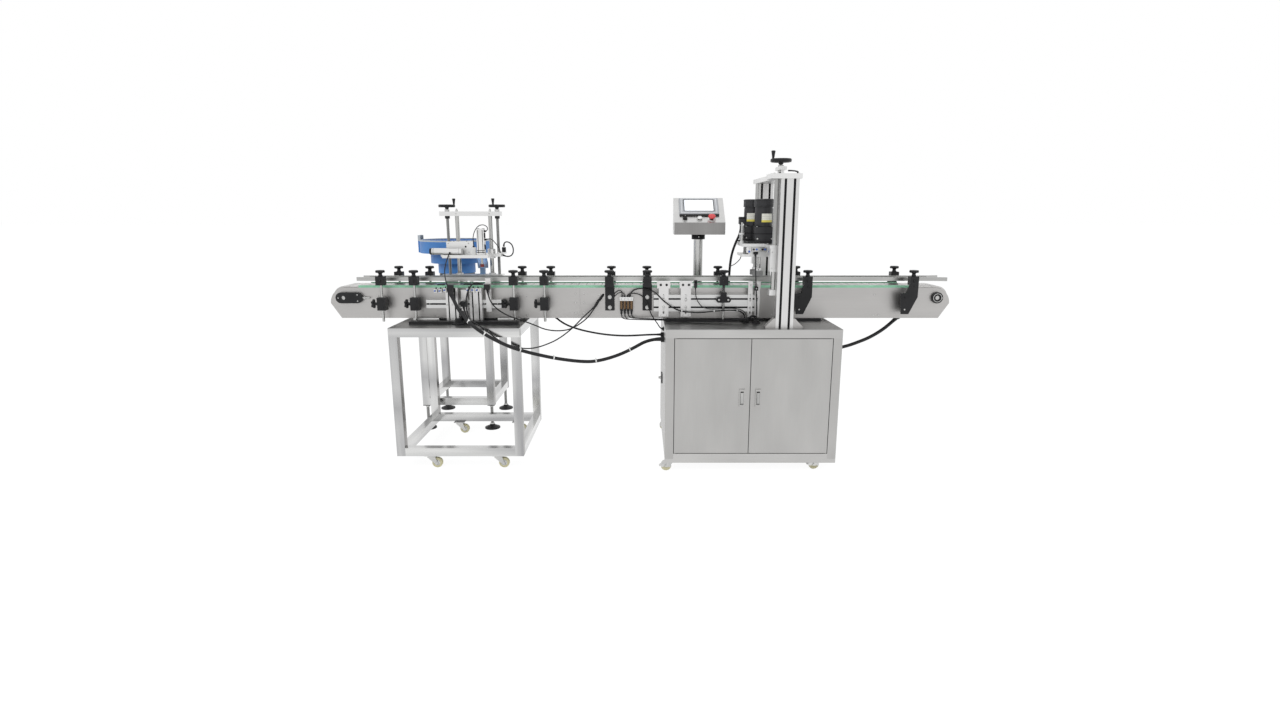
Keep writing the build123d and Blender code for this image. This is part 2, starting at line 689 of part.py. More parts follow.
def cabinet_panels():
    """The sheets of the cabinet: top, sides, back and floor, with the cable entries of the sides."""
    rail_low = TABLE_TOP - FRAME_TUBE
    top = block(CABINET_LEFT, CABINET_RIGHT, CABINET_FRONT, CABINET_BACK, TABLE_TOP - SHEET, TABLE_TOP)
    for x, y, radius in ((HOSE_DROP[0], HOSE_DROP[1], 8.0), (CABINET_LEFT + 438, CABINET_FRONT + 185, 9.0)):
        top -= rod_z(x, y, TABLE_TOP - 10, TABLE_TOP + 10, radius)
    left = block(CABINET_LEFT, CABINET_LEFT + SHEET, CABINET_INNER_FRONT, CABINET_INNER_BACK, CABINET_FLOOR, rail_low)
    right = block(CABINET_RIGHT - SHEET, CABINET_RIGHT, CABINET_INNER_FRONT, CABINET_INNER_BACK, CABINET_FLOOR, rail_low)
    back = block(CABINET_INNER_LEFT, CABINET_INNER_RIGHT, CABINET_BACK - SHEET, CABINET_BACK, CABINET_FLOOR, rail_low)
    floor = block(
        CABINET_INNER_LEFT, CABINET_INNER_RIGHT, CABINET_INNER_FRONT, CABINET_INNER_BACK, CABINET_FLOOR - SHEET, CABINET_FLOOR
    )
    solids = [top, left, right, back, floor]
    for x0, x1, y, z, radius in CABINET_GLANDS:
        solids.append(rod_x(x0, x1, y, z, radius))
    return solids


def door_pivots():
    """The two hinge lines, just inside the outer edge of each door."""
    return (
        CABINET_INNER_LEFT + DOOR_GAP + PIVOT_INSET,
        CABINET_INNER_RIGHT - DOOR_GAP - PIVOT_INSET,
    )


def latch_line():
    """The y and z of the pin that a latch handle turns on."""
    return CABINET_FRONT - LATCH_FRAME / 2, LATCH_Z + 20


def cabinet_door(x0, x1, pivot, latch_x):
    """A door pan with folded edges, pivot pins above and below, and the frame of its latch."""
    low = CABINET_FLOOR + DOOR_GAP
    high = TABLE_TOP - FRAME_TUBE - DOOR_GAP
    front = CABINET_FRONT
    back = front + DOOR_DEPTH
    fold = 1.5
    door = block(x0, x1, front, back, low, high)
    door -= block(x0 + fold, x1 - fold, front + fold, back, low + fold, high - fold)
    pin_y = front + PIVOT_INSET
    for z0, z1 in ((low - 10, low + 30), (high - 30, high + 10)):
        door += rod_z(pivot, pin_y, z0, z1, PIVOT_RADIUS)
    frame = block(
        latch_x - LATCH_WIDTH / 2,
        latch_x + LATCH_WIDTH / 2,
        front - LATCH_FRAME,
        front,
        LATCH_Z - LATCH_HEIGHT / 2,
        LATCH_Z + LATCH_HEIGHT / 2,
    )
    well = block(latch_x - 7.5, latch_x + 7.5, front - LATCH_FRAME, front + 6, LATCH_Z - 31, LATCH_Z + 31)
    pin_hole = rod_x(latch_x - 10.5, latch_x + 10.5, *latch_line(), LATCH_PIN + RUNNING)
    return [door - well, frame - well - pin_hole]


def latch_handle(latch_x):
    """The flush handle of a latch, on a pin at its upper end."""
    front = CABINET_FRONT
    face = outline(
        (front - 8, LATCH_Z + 26),
        (front + 1, LATCH_Z + 26),
        (front + 1, LATCH_Z + 14),
        (front - 4, LATCH_Z + 8),
        (front - 4, LATCH_Z - 26),
        (front - 8, LATCH_Z - 26),
    )
    handle = across_x(face, latch_x - 6.5, latch_x + 6.5)
    return [handle + rod_x(latch_x - 10, latch_x + 10, *latch_line(), LATCH_PIN)]


# Casters, carts and stands


def caster(x, y, turn, braked):
    """A swivel caster at its swivel line: the plate, the fork with its race, the wheel and the pedal."""
    plate_top = CASTER_HEIGHT
    radius = 25.0
    trail = 25.0
    tread = 20.0
    leg_gap = 1.5
    place = Pos(x, y, 0) * Rot(0, 0, turn)
    plate = place * block(-29, 29, -29, 29, plate_top - 3, plate_top)
    plate -= place * rod_z(0, 0, plate_top - 4, plate_top + 1, 5 + RUNNING)
    fork = rod_z(0, 0, plate_top - 13, plate_top - 3 - SOFT, 21)
    fork += rod_z(0, 0, plate_top - 13, plate_top - 0.5, 5)
    side = outline((-20, plate_top - 13), (18, plate_top - 13), (trail + 7, radius - 7), (trail - 7, radius - 7))
    leg_y = tread / 2 + leg_gap
    for y0 in (-leg_y - 2.5, leg_y):
        fork += across_y(side, y0, y0 + 2.5)
    fork += block(-20, 18, -leg_y - 2.5, leg_y + 2.5, plate_top - 15, plate_top - 12)
    fork += rod_y(trail, -leg_y - 5, leg_y + 5, radius, 4)
    wheel = rod_y(trail, -tread / 2, tread / 2, radius, radius)
    wheel = chamfer(wheel.edges().filter_by(GeomType.CIRCLE), 3)
    wheel -= rod_y(trail, -tread, tread, radius, 4 + RUNNING)
    pieces = [plate, place * fork, place * wheel]
    if braked:
        pedal = outline((trail + 7, radius + 4), (trail + 32, radius - 4), (trail + 33, radius - 1), (trail + 12, radius + 12))
        pieces.append(place * across_y(pedal, -leg_y, leg_y))
    return pieces


def cabinet_casters():
    """The four parked casters under the cabinet, the two in front with their brakes."""
    solids = []
    corners = (
        (CABINET_LEFT + 33, CABINET_FRONT + 33, 180, True),
        (CABINET_RIGHT - 63, CABINET_FRONT + 53, 180, True),
        (CABINET_LEFT + 45, CABINET_BACK - 35, 180, False),
        (CABINET_RIGHT - 45, CABINET_BACK - 35, 0, False),
    )
    for x, y, turn, braked in corners:
        solids += caster(x, y, turn, braked)
    return solids


CART_CASTERS = {
    "front_left": (CART_LEFT + 155, CART_FRONT + 34, 0.0),
    "front_right": (CART_RIGHT - 125, CART_FRONT + 34, 0.0),
    "rear_left": (CART_LEFT + 155, CART_BACK - 34, 0.0),
    "rear_right": (CART_RIGHT - 125, CART_BACK - 34, 0.0),
}


def cart_frame():
    """The cart: a cube of polished square tube with a top sheet, and the plates of its casters."""
    solids = []
    rail_top = TABLE_TOP - SHEET
    rail_low = rail_top - FRAME_TUBE
    low = CASTER_HEIGHT
    for x0 in (CART_LEFT, CART_RIGHT - FRAME_TUBE):
        for y0 in (CART_FRONT, CART_BACK - FRAME_TUBE):
            solids.append(tube_z(x0, x0 + FRAME_TUBE, y0, y0 + FRAME_TUBE, low, rail_low))
        for z0 in (low, rail_low):
            y_ends = (CART_FRONT + FRAME_TUBE, CART_BACK - FRAME_TUBE)
            solids.append(tube_y(x0, x0 + FRAME_TUBE, y_ends[0], y_ends[1], z0, z0 + FRAME_TUBE))
    for y0 in (CART_FRONT, CART_BACK - FRAME_TUBE):
        x_ends = (CART_LEFT + FRAME_TUBE, CART_RIGHT - FRAME_TUBE)
        solids.append(tube_x(x_ends[0], x_ends[1], y0, y0 + FRAME_TUBE, low, low + FRAME_TUBE))
        solids.append(tube_x(CART_LEFT, CART_RIGHT, y0, y0 + FRAME_TUBE, rail_low, rail_top))
    solids.append(block(CART_LEFT, CART_RIGHT, CART_FRONT, CART_BACK, rail_top, TABLE_TOP))
    for x, y, turn in CART_CASTERS.values():
        solids.append(caster(x, y, turn, False)[0])
    return solids


def feeder_stand():
    """The stand of the bowl: tubes with bottom rails above the levelling feet, and a top sheet."""
    solids = []
    rail_top = STAND_TOP - SHEET
    rail_low = rail_top - FRAME_TUBE
    for x0 in (STAND_LEFT, STAND_RIGHT - FRAME_TUBE):
        for y0 in (STAND_FRONT, STAND_BACK - FRAME_TUBE):
            solids.append(tube_z(x0, x0 + FRAME_TUBE, y0, y0 + FRAME_TUBE, STAND_FOOT, rail_low))
        for z0 in (STAND_FOOT, rail_low):
            y_ends = (STAND_FRONT + FRAME_TUBE, STAND_BACK - FRAME_TUBE)
            solids.append(tube_y(x0, x0 + FRAME_TUBE, y_ends[0], y_ends[1], z0, z0 + FRAME_TUBE))
    for y0 in (STAND_FRONT, STAND_BACK - FRAME_TUBE):
        x_ends = (STAND_LEFT + FRAME_TUBE, STAND_RIGHT - FRAME_TUBE)
        solids.append(tube_x(x_ends[0], x_ends[1], y0, y0 + FRAME_TUBE, STAND_FOOT, STAND_FOOT + FRAME_TUBE))
        solids.append(tube_x(STAND_LEFT, STAND_RIGHT, y0, y0 + FRAME_TUBE, rail_low, rail_top))
    solids.append(block(STAND_LEFT, STAND_RIGHT, STAND_FRONT, STAND_BACK, rail_top, STAND_TOP))
    return solids


def levelling_feet():
    """A round pad and a threaded stem, with its cap, under each post of the stand."""
    solids = []
    half = FRAME_TUBE / 2
    for x in (STAND_LEFT + half, STAND_RIGHT - half):
        for y in (STAND_FRONT + half, STAND_BACK - half):
            pad = rod_z(x, y, 0, 8, PAD_RADIUS) + taper_z(x, y, 8, 24, PAD_RADIUS - 4, 14)
            stem = rod_z(x, y, 24, STAND_FOOT - 4, 8)
            cap = block(x - half, x + half, y - half, y + half, STAND_FOOT - 4, STAND_FOOT)
            solids += [pad, stem, cap]
    return solids


# Vibratory bowl and its chute

CHUTE_START = Vector(BOWL_X + 172.0, BOWL_Y - 145.0, BOWL_BASE + 98.0)
CHUTE_END = Vector(PLACER_X - 3.0, LANE_Y + 31.0, FEEDER_BASE_Z + 49.0)
CHUTE_WIDTH = 50.0
CHUTE_DEPTH = 25.0
CHUTE_WALL = 2.0


def chute_plane(origin):
    """A frame whose x runs down the chute and whose z stands square on its floor."""
    run = (CHUTE_END - CHUTE_START).normalized()
    side = Vector(0, 0, 1).cross(run).normalized()
    return Plane(origin=origin, x_dir=run, z_dir=run.cross(side))


def channel(length):
    """A straight channel with an open top, its floor along x."""
    outer = Pos(length / 2, 0, CHUTE_DEPTH / 2) * Box(length, CHUTE_WIDTH, CHUTE_DEPTH)
    inner = Pos(length / 2, 0, CHUTE_DEPTH / 2 + CHUTE_WALL) * Box(length, CHUTE_WIDTH - 2 * CHUTE_WALL, CHUTE_DEPTH)
    return outer - inner


def bowl():
    """A stepped bowl: each step is a ring that the caps climb, with a rim pocket and an outlet."""
    outer = [(0.0, BOWL_BASE)]
    inner = [(0.0, BOWL_BASE + BOWL_WALL)]
    z = BOWL_BASE
    for radius, height in BOWL_STEPS:
        outer.append((radius, z))
        inner.append((radius - BOWL_WALL, z + BOWL_WALL))
        z += height
        outer.append((radius, z))
        inner.append((radius - BOWL_WALL, z if radius == BOWL_STEPS[-1][0] else z + BOWL_WALL))
    profile = outline(*(outer + inner[::-1]))
    shell = Pos(BOWL_X, BOWL_Y, 0) * revolve(Plane.XZ * profile, Axis.Z)
    rim = BOWL_STEPS[-1][0]
    left = BOWL_X - rim - 8
    pocket = block(left, left + 40, BOWL_Y - 32, BOWL_Y + 32, z - 70, z + 25)
    pocket -= block(left + 3, left + 60, BOWL_Y - 29, BOWL_Y + 29, z - 67, z + 26)
    pocket -= rod_z(BOWL_X, BOWL_Y, z - 80, z + 40, rim - BOWL_WALL / 2)
    run = (CHUTE_END - CHUTE_START).normalized()
    spout = chute_plane(CHUTE_START - run * 62) * channel(62.0)
    spout -= rod_z(BOWL_X, BOWL_Y, BOWL_BASE, z + 20, rim - BOWL_WALL)
    mouth = chute_plane(CHUTE_START - run * 80) * (Pos(40, 0, 14 + CHUTE_WALL) * Box(80, CHUTE_WIDTH - 6, 28))
    return [shell - mouth + pocket + spout]


def cap_chute():
    """The channel that brings caps from the bowl to the placing position, and its small bracket."""
    length = (CHUTE_END - CHUTE_START).length
    trough = chute_plane(CHUTE_START) * channel(length)
    share = (CHUTE_START.Y - FEEDER_Y) / (CHUTE_START.Y - CHUTE_END.Y)
    foot = CHUTE_START + (CHUTE_END - CHUTE_START) * share
    base = FEEDER_BASE_Z + FEEDER_BASE_THICKNESS
    bracket = block(foot.X - 12, foot.X + 12, FEEDER_Y - 12, FEEDER_Y + 12, base, foot.Z + 5)
    under = chute_plane(CHUTE_START) * (Pos(length / 2, 0, 50) * Box(length + 20, 200, 100))
    return [trough, bracket - under]


def bowl_drive():
    """The vibrating drive: a base casting, three slanted leaf springs and a top disc."""
    base_top = STAND_TOP + 62
    disc_low = BOWL_BASE - 24
    radius = 98.0
    solids = [
        rod_z(BOWL_X, BOWL_Y, STAND_TOP, base_top, radius),
        rod_z(BOWL_X, BOWL_Y, disc_low, BOWL_BASE, radius),
        rod_z(BOWL_X, BOWL_Y, base_top, disc_low - 2, 52),
    ]
    for step in range(3):
        lean = outline((-22, base_top), (6, base_top), (22, disc_low), (-6, disc_low))
        leaf = across_x(lean, radius - 26, radius - 12)
        solids.append(Pos(BOWL_X, BOWL_Y, 0) * Rot(0, 0, 30 + 120 * step) * leaf)
    return solids


# Cap feeder over the cart


def feeder_columns():
    """The fixed part of the feeder: rear legs, base plate, guide posts and crossbar."""
    base_top = FEEDER_BASE_Z + FEEDER_BASE_THICKNESS
    solids = []
    for x in LEG_X:
        solids.append(block(x - 30, x + 30, REAR_FACE + 12, REAR_FACE + 42, TABLE_TOP, FEEDER_BASE_Z))
    solids.append(block(FEEDER_LEFT, FEEDER_RIGHT, REAR_FACE, REAR_FACE + 56, FEEDER_BASE_Z, base_top))
    for x in POST_X:
        solids.append(rod_z(x, FEEDER_Y, base_top, CROSSBAR_Z, POST_RADIUS))
    bar = block(FEEDER_LEFT, FEEDER_RIGHT, FEEDER_Y - 18, FEEDER_Y + 18, CROSSBAR_Z, CROSSBAR_Z + CROSSBAR_HEIGHT)
    for x in (LEFT_SCREW_X, RIGHT_SCREW_X):
        bar -= rod_z(x, FEEDER_Y, CROSSBAR_Z - 1, CROSSBAR_Z + CROSSBAR_HEIGHT + 1, FEEDER_SCREW_RADIUS + RUNNING)
    solids.append(bar)
    return solids


def handwheel(x, y, z, radius, handle_turn):
    """A handwheel: a hub, three spokes, a rounded rim and an upright handle on the rim."""
    rim_height = radius * 0.34
    rim_width = radius * 0.28
    hub = rod_z(0, 0, -rim_height, rim_height / 2, radius * 0.28)
    profile = Pos(radius - rim_width / 2, 0) * Rectangle(rim_width, rim_height)
    profile = chamfer(profile.vertices(), rim_height * 0.28)
    wheel = hub + revolve(Plane.XZ * profile, Axis.Z)
    for step in range(3):
        spoke = block(radius * 0.2, radius - rim_width / 2, -4, 4, -rim_height / 4, rim_height / 4)
        wheel += Rot(0, 0, handle_turn + 60 + 120 * step) * spoke
    grip_x = radius - rim_width / 2
    grip = taper_z(grip_x, 0, rim_height / 2 - 1, rim_height / 2 + radius * 0.72, radius * 0.11, radius * 0.2)
    wheel += Rot(0, 0, handle_turn) * grip
    return Pos(x, y, z) * wheel


def feeder_screw(x, handle_turn):
    """A lifting screw of the feeder with its handwheel, and the collars above and below the bar."""
    radius = 41.0
    bar_top = CROSSBAR_Z + CROSSBAR_HEIGHT
    base_top = FEEDER_BASE_Z + FEEDER_BASE_THICKNESS
    wheel_z = bar_top + 27
    screw = rod_z(x, FEEDER_Y, base_top, wheel_z, FEEDER_SCREW_RADIUS)
    screw += rod_z(x, FEEDER_Y, CROSSBAR_Z - 13, CROSSBAR_Z, 12)
    screw += rod_z(x, FEEDER_Y, bar_top, bar_top + 10, 12)
    return [screw + handwheel(x, FEEDER_Y, wheel_z, radius, handle_turn)]


def feeder_carriage():
    """The lifting carriage: a plate on two bushes, the arm over the lane and its air cylinders."""
    top = CARRIAGE_Z + CARRIAGE_THICKNESS
    plate = block(FEEDER_LEFT, FEEDER_RIGHT, FEEDER_Y - 35, FEEDER_Y + 35, CARRIAGE_Z, top)
    plate += block(FEEDER_LEFT + 40, PLACER_X + 41, LANE_Y - 42, FEEDER_Y - 35, CARRIAGE_Z, top)
    for x in POST_X:
        plate += rod_z(x, FEEDER_Y, CARRIAGE_Z - 8, top + 21, 20)
        plate -= rod_z(x, FEEDER_Y, CARRIAGE_Z - 9, top + 22, POST_RADIUS + RUNNING)
    for x in (LEFT_SCREW_X, RIGHT_SCREW_X):
        plate -= rod_z(x, FEEDER_Y, CARRIAGE_Z - 1, top + 1, FEEDER_SCREW_RADIUS + RUNNING)
    plate -= rod_z(PLACER_X, LANE_Y, CARRIAGE_Z - 1, top + 1, PLACER_ROD_RADIUS + 2)
    housing = block(FEEDER_LEFT + 45, FEEDER_LEFT + 165, FEEDER_Y - 85, FEEDER_Y - 36, top, top + 62)
    gate_left = FEEDER_LEFT - 15
    gate_y = LANE_Y - 12
    gate = rod_x(gate_left, gate_left + GATE_LENGTH, gate_y, top + GATE_RADIUS, GATE_RADIUS)
    gate_cap = rod_x(gate_left - GATE_CAP, gate_left, gate_y, top + GATE_RADIUS, GATE_RADIUS - 1)
    placer = block(PLACER_X - 18, PLACER_X + 18, LANE_Y - 18, LANE_Y + 18, top, top + 125)
    placer -= rod_z(PLACER_X, LANE_Y, top - 1, top + 90, PLACER_ROD_RADIUS + RUNNING)
    return [plate, housing, gate, gate_cap, placer]


def placing_rod():
    """The rod of the placing cylinder with its rubber tip."""
    tip_height = 14.0
    rod = rod_z(PLACER_X, LANE_Y, PLACER_TIP_Z + tip_height, CARRIAGE_Z + CARRIAGE_THICKNESS + 70, PLACER_ROD_RADIUS)
    tip = rod_z(PLACER_X, LANE_Y, PLACER_TIP_Z, PLACER_TIP_Z + tip_height, 9)
    return [rod + tip]


# Gantry and capping head


def gantry_columns():
    """Two slotted columns on the cabinet and the ribbed corner brackets at their feet."""
    solids = []
    leg = 45.0
    thick = 8.0
    corner = outline((0, 0), (leg, 0), (leg, thick), (thick, leg), (0, leg))
    relief = outline((thick, thick), (leg - 10, thick), (thick, leg - 10))
    for y in (FRONT_COLUMN_Y, REAR_COLUMN_Y):
        section = Pos(COLUMN_X, y) * slotted(COLUMN_WIDTH, COLUMN_DEPTH)
        solids.append(upright(section, TABLE_TOP, COLUMN_TOP))
        for side in (-1, 1):
            bracket = across_y(corner, -18, 18) - across_y(relief, -13, -3) - across_y(relief, 3, 13)
            if side < 0:
                bracket = mirror(bracket, about=Plane.YZ)
            solids.append(Pos(COLUMN_X + side * COLUMN_WIDTH / 2, y, TABLE_TOP) * bracket)
    return solids


def gantry_top():
    """The top plate across both columns, with the bearing bar of the lifting screw on standoffs."""
    thick = 22.0
    top = COLUMN_TOP + thick
    half = COLUMN_DEPTH / 2
    front = FRONT_COLUMN_Y - half - 6
    plate = block(COLUMN_X - 84, COLUMN_X + 51, front, FRONT_COLUMN_Y + 100, COLUMN_TOP, top)
    plate += block(COLUMN_X - 60, COLUMN_X + 40, FRONT_COLUMN_Y + 100, REAR_COLUMN_Y + half + 6, COLUMN_TOP, top)
    plate += block(LIFT_X - 45, LIFT_X + 45, LIFT_Y - 75, LIFT_Y + 60, COLUMN_TOP, top)
    plate -= rod_z(LIFT_X, LIFT_Y, COLUMN_TOP - 1, top + 1, LIFT_RADIUS + 1)
    bar = block(LIFT_X - 16, LIFT_X + 16, LIFT_Y - 60, LIFT_Y + 50, top + 23, top + 38)
    bar -= rod_z(LIFT_X, LIFT_Y, top, top + 40, LIFT_RADIUS + RUNNING)
    solids = [plate, bar]
    for y in (LIFT_Y - 46, LIFT_Y + 38):
        solids.append(rod_z(LIFT_X, y, top, top + 23, 7))
    return solids


def guide_rods():
    """The polished guide rods of the head and the small plates that hold their feet."""
    foot_z = 825.0
    foot_height = 25.0
    solids = []
    rod = rod_z(GUIDE_X, LANE_Y - GUIDE_REACH, foot_z + foot_height, COLUMN_TOP, GUIDE_RADIUS)
    inner = FRONT_COLUMN_Y + COLUMN_DEPTH / 2
    foot = block(GUIDE_X - 22, COLUMN_X + 35, inner, inner + 43, foot_z, foot_z + foot_height)
    for piece in (rod, foot):
        solids += [piece, mirrored(piece)]
    return solids


def lift_screw():
    """The lifting screw of the head with its collars and its handwheel."""
    top = COLUMN_TOP + 22 + 38
    radius = 48.5
    screw = rod_z(LIFT_X, LIFT_Y, HEAD_PLATE_Z - 26, top + 28, LIFT_RADIUS)
    screw += rod_z(LIFT_X, LIFT_Y, top, top + 8, 13)
    screw += rod_z(LIFT_X, LIFT_Y, top - 23, top - 15, 13)
    return [screw + handwheel(LIFT_X, LIFT_Y, top + 29, radius, 200.0)]


def head_carriage():
    """The moving head frame: cross plate, slider blocks, spindle plate and two air cylinders."""
    top = HEAD_PLATE_Z + HEAD_PLATE_THICKNESS
    clear = 4.0
    front = FRONT_COLUMN_Y + COLUMN_DEPTH / 2 + clear
    back = REAR_COLUMN_Y - COLUMN_DEPTH / 2 - clear
    left = SPINDLE_X - 85
    cross = block(GUIDE_X - 26, LIFT_X + 20, front, back, HEAD_PLATE_Z, top)
    cross += block(left, LIFT_X + 20, LANE_Y - 115, LANE_Y + 115, HEAD_PLATE_Z, top)
    slider = block(GUIDE_X - 23, GUIDE_X + 20, front, front + 42, HEAD_PLATE_Z - 104, HEAD_PLATE_Z)
    cross += slider + mirrored(slider)
    cross += block(LIFT_X - 20, LIFT_X + 20, LIFT_Y - 20, LIFT_Y + 20, HEAD_PLATE_Z - 18, HEAD_PLATE_Z)
    lower = HEAD_PLATE_Z - 48
    yoke = block(left, GUIDE_X + 8, LANE_Y - 88, LANE_Y + 88, lower, lower + 12)
    for y in (LANE_Y - 88, LANE_Y + 76):
        yoke += block(left + 30, GUIDE_X + 8, y, y + 12, lower + 12, HEAD_PLATE_Z)
    cross += yoke
    for y in (LANE_Y - GUIDE_REACH, LANE_Y + GUIDE_REACH):
        cross -= rod_z(GUIDE_X, y, HEAD_PLATE_Z - 105, top + 1, GUIDE_RADIUS + RUNNING)
    cross -= rod_z(LIFT_X, LIFT_Y, HEAD_PLATE_Z - 19, top + 1, LIFT_RADIUS + RUNNING)
    for side in (-1, 1):
        y = LANE_Y + side * SPINDLE_REACH
        cross -= rod_z(SPINDLE_X, y, HEAD_PLATE_Z - 1, top + 1, SPINDLE_RADIUS + 3)
        cross -= rod_z(SPINDLE_X, y, lower - 1, lower + 13, SPINDLE_RADIUS + RUNNING)
    solids = [cross]
    for y in (LANE_Y - 13, LANE_Y + 13):
        solids.append(rod_z(left + 8, y, top, top + 48, 10))
    return solids


def cap_motors():
    """The black motor plate, and two upright gearmotors whose spindles stand off their centres."""
    low = HEAD_PLATE_Z + HEAD_PLATE_THICKNESS
    high = low + 12
    half = MOTOR_FRAME / 2
    plate = block(SPINDLE_X - 64, SPINDLE_X + 64, LANE_Y - 110, LANE_Y + 110, low, high)
    solids = [plate]
    for side in (-1, 1):
        x = SPINDLE_X - side * MOTOR_SHIFT
        y = LANE_Y + side * MOTOR_REACH
        spindle_y = LANE_Y + side * SPINDLE_REACH
        solids[0] -= rod_z(SPINDLE_X, spindle_y, low - 1, high + 1, SPINDLE_RADIUS + 3)
        motor = block(x - half, x + half, y - half, y + half, high, high + 66)
        motor = fillet(motor.edges().filter_by(Axis.Z), 6)
        motor += rod_z(x, y, high + 66, high + 158, MOTOR_RADIUS)
        motor += rod_z(x, y, high + 158, high + 195, MOTOR_RADIUS + 4)
        motor -= rod_z(SPINDLE_X, spindle_y, high - 1, high + 20, SPINDLE_RADIUS + RUNNING)
        solids.append(motor)
    x, y, z = HOSE_START
    solids.append(block(x - 12, SPINDLE_X, y - 16, y + 16, z, z + 34) - solids[2])
    return solids


def capping_spindle(side):
    """A spindle with the rubber-tyred wheel that turns the cap."""
    y = LANE_Y + side * SPINDLE_REACH
    top = HEAD_PLATE_Z + HEAD_PLATE_THICKNESS + 12 + 18
    spindle = rod_z(SPINDLE_X, y, WHEEL_Z - 2, top, SPINDLE_RADIUS)
    spindle += rod_z(SPINDLE_X, y, WHEEL_Z + 26, WHEEL_Z + 38, 14)
    tyre = rod_z(SPINDLE_X, y, WHEEL_Z, WHEEL_Z + 26, WHEEL_RADIUS)
    tyre = chamfer(tyre.edges().filter_by(GeomType.CIRCLE), 2)
    tyre -= rod_z(SPINDLE_X, y, WHEEL_Z - 1, WHEEL_Z + 27, SPINDLE_RADIUS)
    return [spindle, tyre]


# Operator panel


def panel_face(along, rise=0.0):
    """A frame on the sloping face of the console, a distance up the slope from its front edge."""
    tilt = math.radians(PANEL_TILT)
    y = PANEL_FRONT + along * math.cos(tilt) - rise * math.sin(tilt)
    z = PANEL_Z + PANEL_LIP + along * math.sin(tilt) + rise * math.cos(tilt)
    return Plane(origin=(PANEL_X, y, z), x_dir=(1, 0, 0), z_dir=(0, -math.sin(tilt), math.cos(tilt)))


def panel_post():
    """The round post of the console with its foot flange and the black collar under the box."""
    collar_z = PANEL_Z - 26
    post = rod_z(PANEL_X, PANEL_Y, TABLE_TOP + 8, collar_z, PANEL_POST_RADIUS)
    flange = rod_z(PANEL_X, PANEL_Y, TABLE_TOP, TABLE_TOP + 8, 50)
    collar = rod_z(PANEL_X, PANEL_Y, collar_z, PANEL_Z, 35)
    return [post, flange, collar]


BUTTON_ALONG = 27.0
BUTTON_X = (-75.0, 0.0, 62.0)
BUTTON_BORE = 8.0


def control_box():
    """The console: a folded box with a sloping face, hollow, with a bore for each control."""
    back = PANEL_FRONT + PANEL_DEPTH
    side = outline(
        (PANEL_FRONT, PANEL_Z),
        (back, PANEL_Z),
        (back, PANEL_Z + PANEL_HEIGHT),
        (PANEL_FRONT, PANEL_Z + PANEL_LIP),
    )
    half = PANEL_WIDTH / 2
    box = across_x(side, PANEL_X - half, PANEL_X + half)
    hollow = across_x(offset(side, -SHEET, kind=Kind.INTERSECTION), PANEL_X - half + SHEET, PANEL_X + half - SHEET)
    box -= hollow
    for x in BUTTON_X:
        box -= panel_face(BUTTON_ALONG) * (Pos(x, 0, 0) * Cylinder(BUTTON_BORE + RUNNING, 12))
    return [box]


def touch_screen():
    """The screen: a bezel that stands on the slope, with a shallow window."""
    along = 122.0
    bezel = Pos(0, 0, 4) * Box(204, 128, 8)
    bezel = chamfer(bezel.faces().sort_by(Axis.Z)[-1].edges(), 2)
    bezel -= Pos(0, 5, 7.5) * Box(150, 88, 2)
    return [panel_face(along) * bezel]


def panel_button(x, head_radius, head_low, head_high, taper=1.0):
    """A push control: a stem in its bore and a round head standing off the slope."""
    stem = Pos(x, 0, (head_low - 18) / 2) * Cylinder(BUTTON_BORE, head_low + 18)
    middle = Pos(x, 0, (head_low + head_high) / 2)
    if taper == 1.0:
        head = middle * Cylinder(head_radius, head_high - head_low)
    else:
        head = middle * Cone(head_radius * taper, head_radius, head_high - head_low)
    return [panel_face(BUTTON_ALONG) * (stem + head)]


def emergency_stop():
    """The mushroom push button."""
    return panel_button(BUTTON_X[2], 19.0, 8.0, 22.0, taper=0.6)


def push_button():
    """The start push button."""
    return panel_button(BUTTON_X[1], 12.0, 6.0, 11.0)


def selector_switch():
    """The selector: a round base with a raised grip across it."""
    x = BUTTON_X[0]
    knob = panel_button(x, 12.0, 3.0, 9.0)[0]
    grip = panel_face(BUTTON_ALONG) * (Pos(x, 0, 14) * Box(6, 22, 12))
    return [knob + grip]


# Cables, each a tube of straight runs joined by tangent arcs

HOSE_START = (500.0, LANE_Y + MOTOR_REACH, 1140.0)
HOSE_DROP = (457.0, -85.0)
CABINET_GLANDS = (
    (CABINET_LEFT - 15, CABINET_LEFT, -367.0, 602.0, 15.0),
    (CABINET_LEFT - 15, CABINET_LEFT, -326.0, 617.0, 11.0),
    (CABINET_RIGHT, CABINET_RIGHT + 15, -225.0, 526.0, 15.0),
)
HEAD_SENSORS = (
    (-893.0, -372.0, 828.0, 34.0),
    (-838.0, -358.0, 758.0, 24.0),
    (-725.0, -351.0, 838.0, 24.0),
)

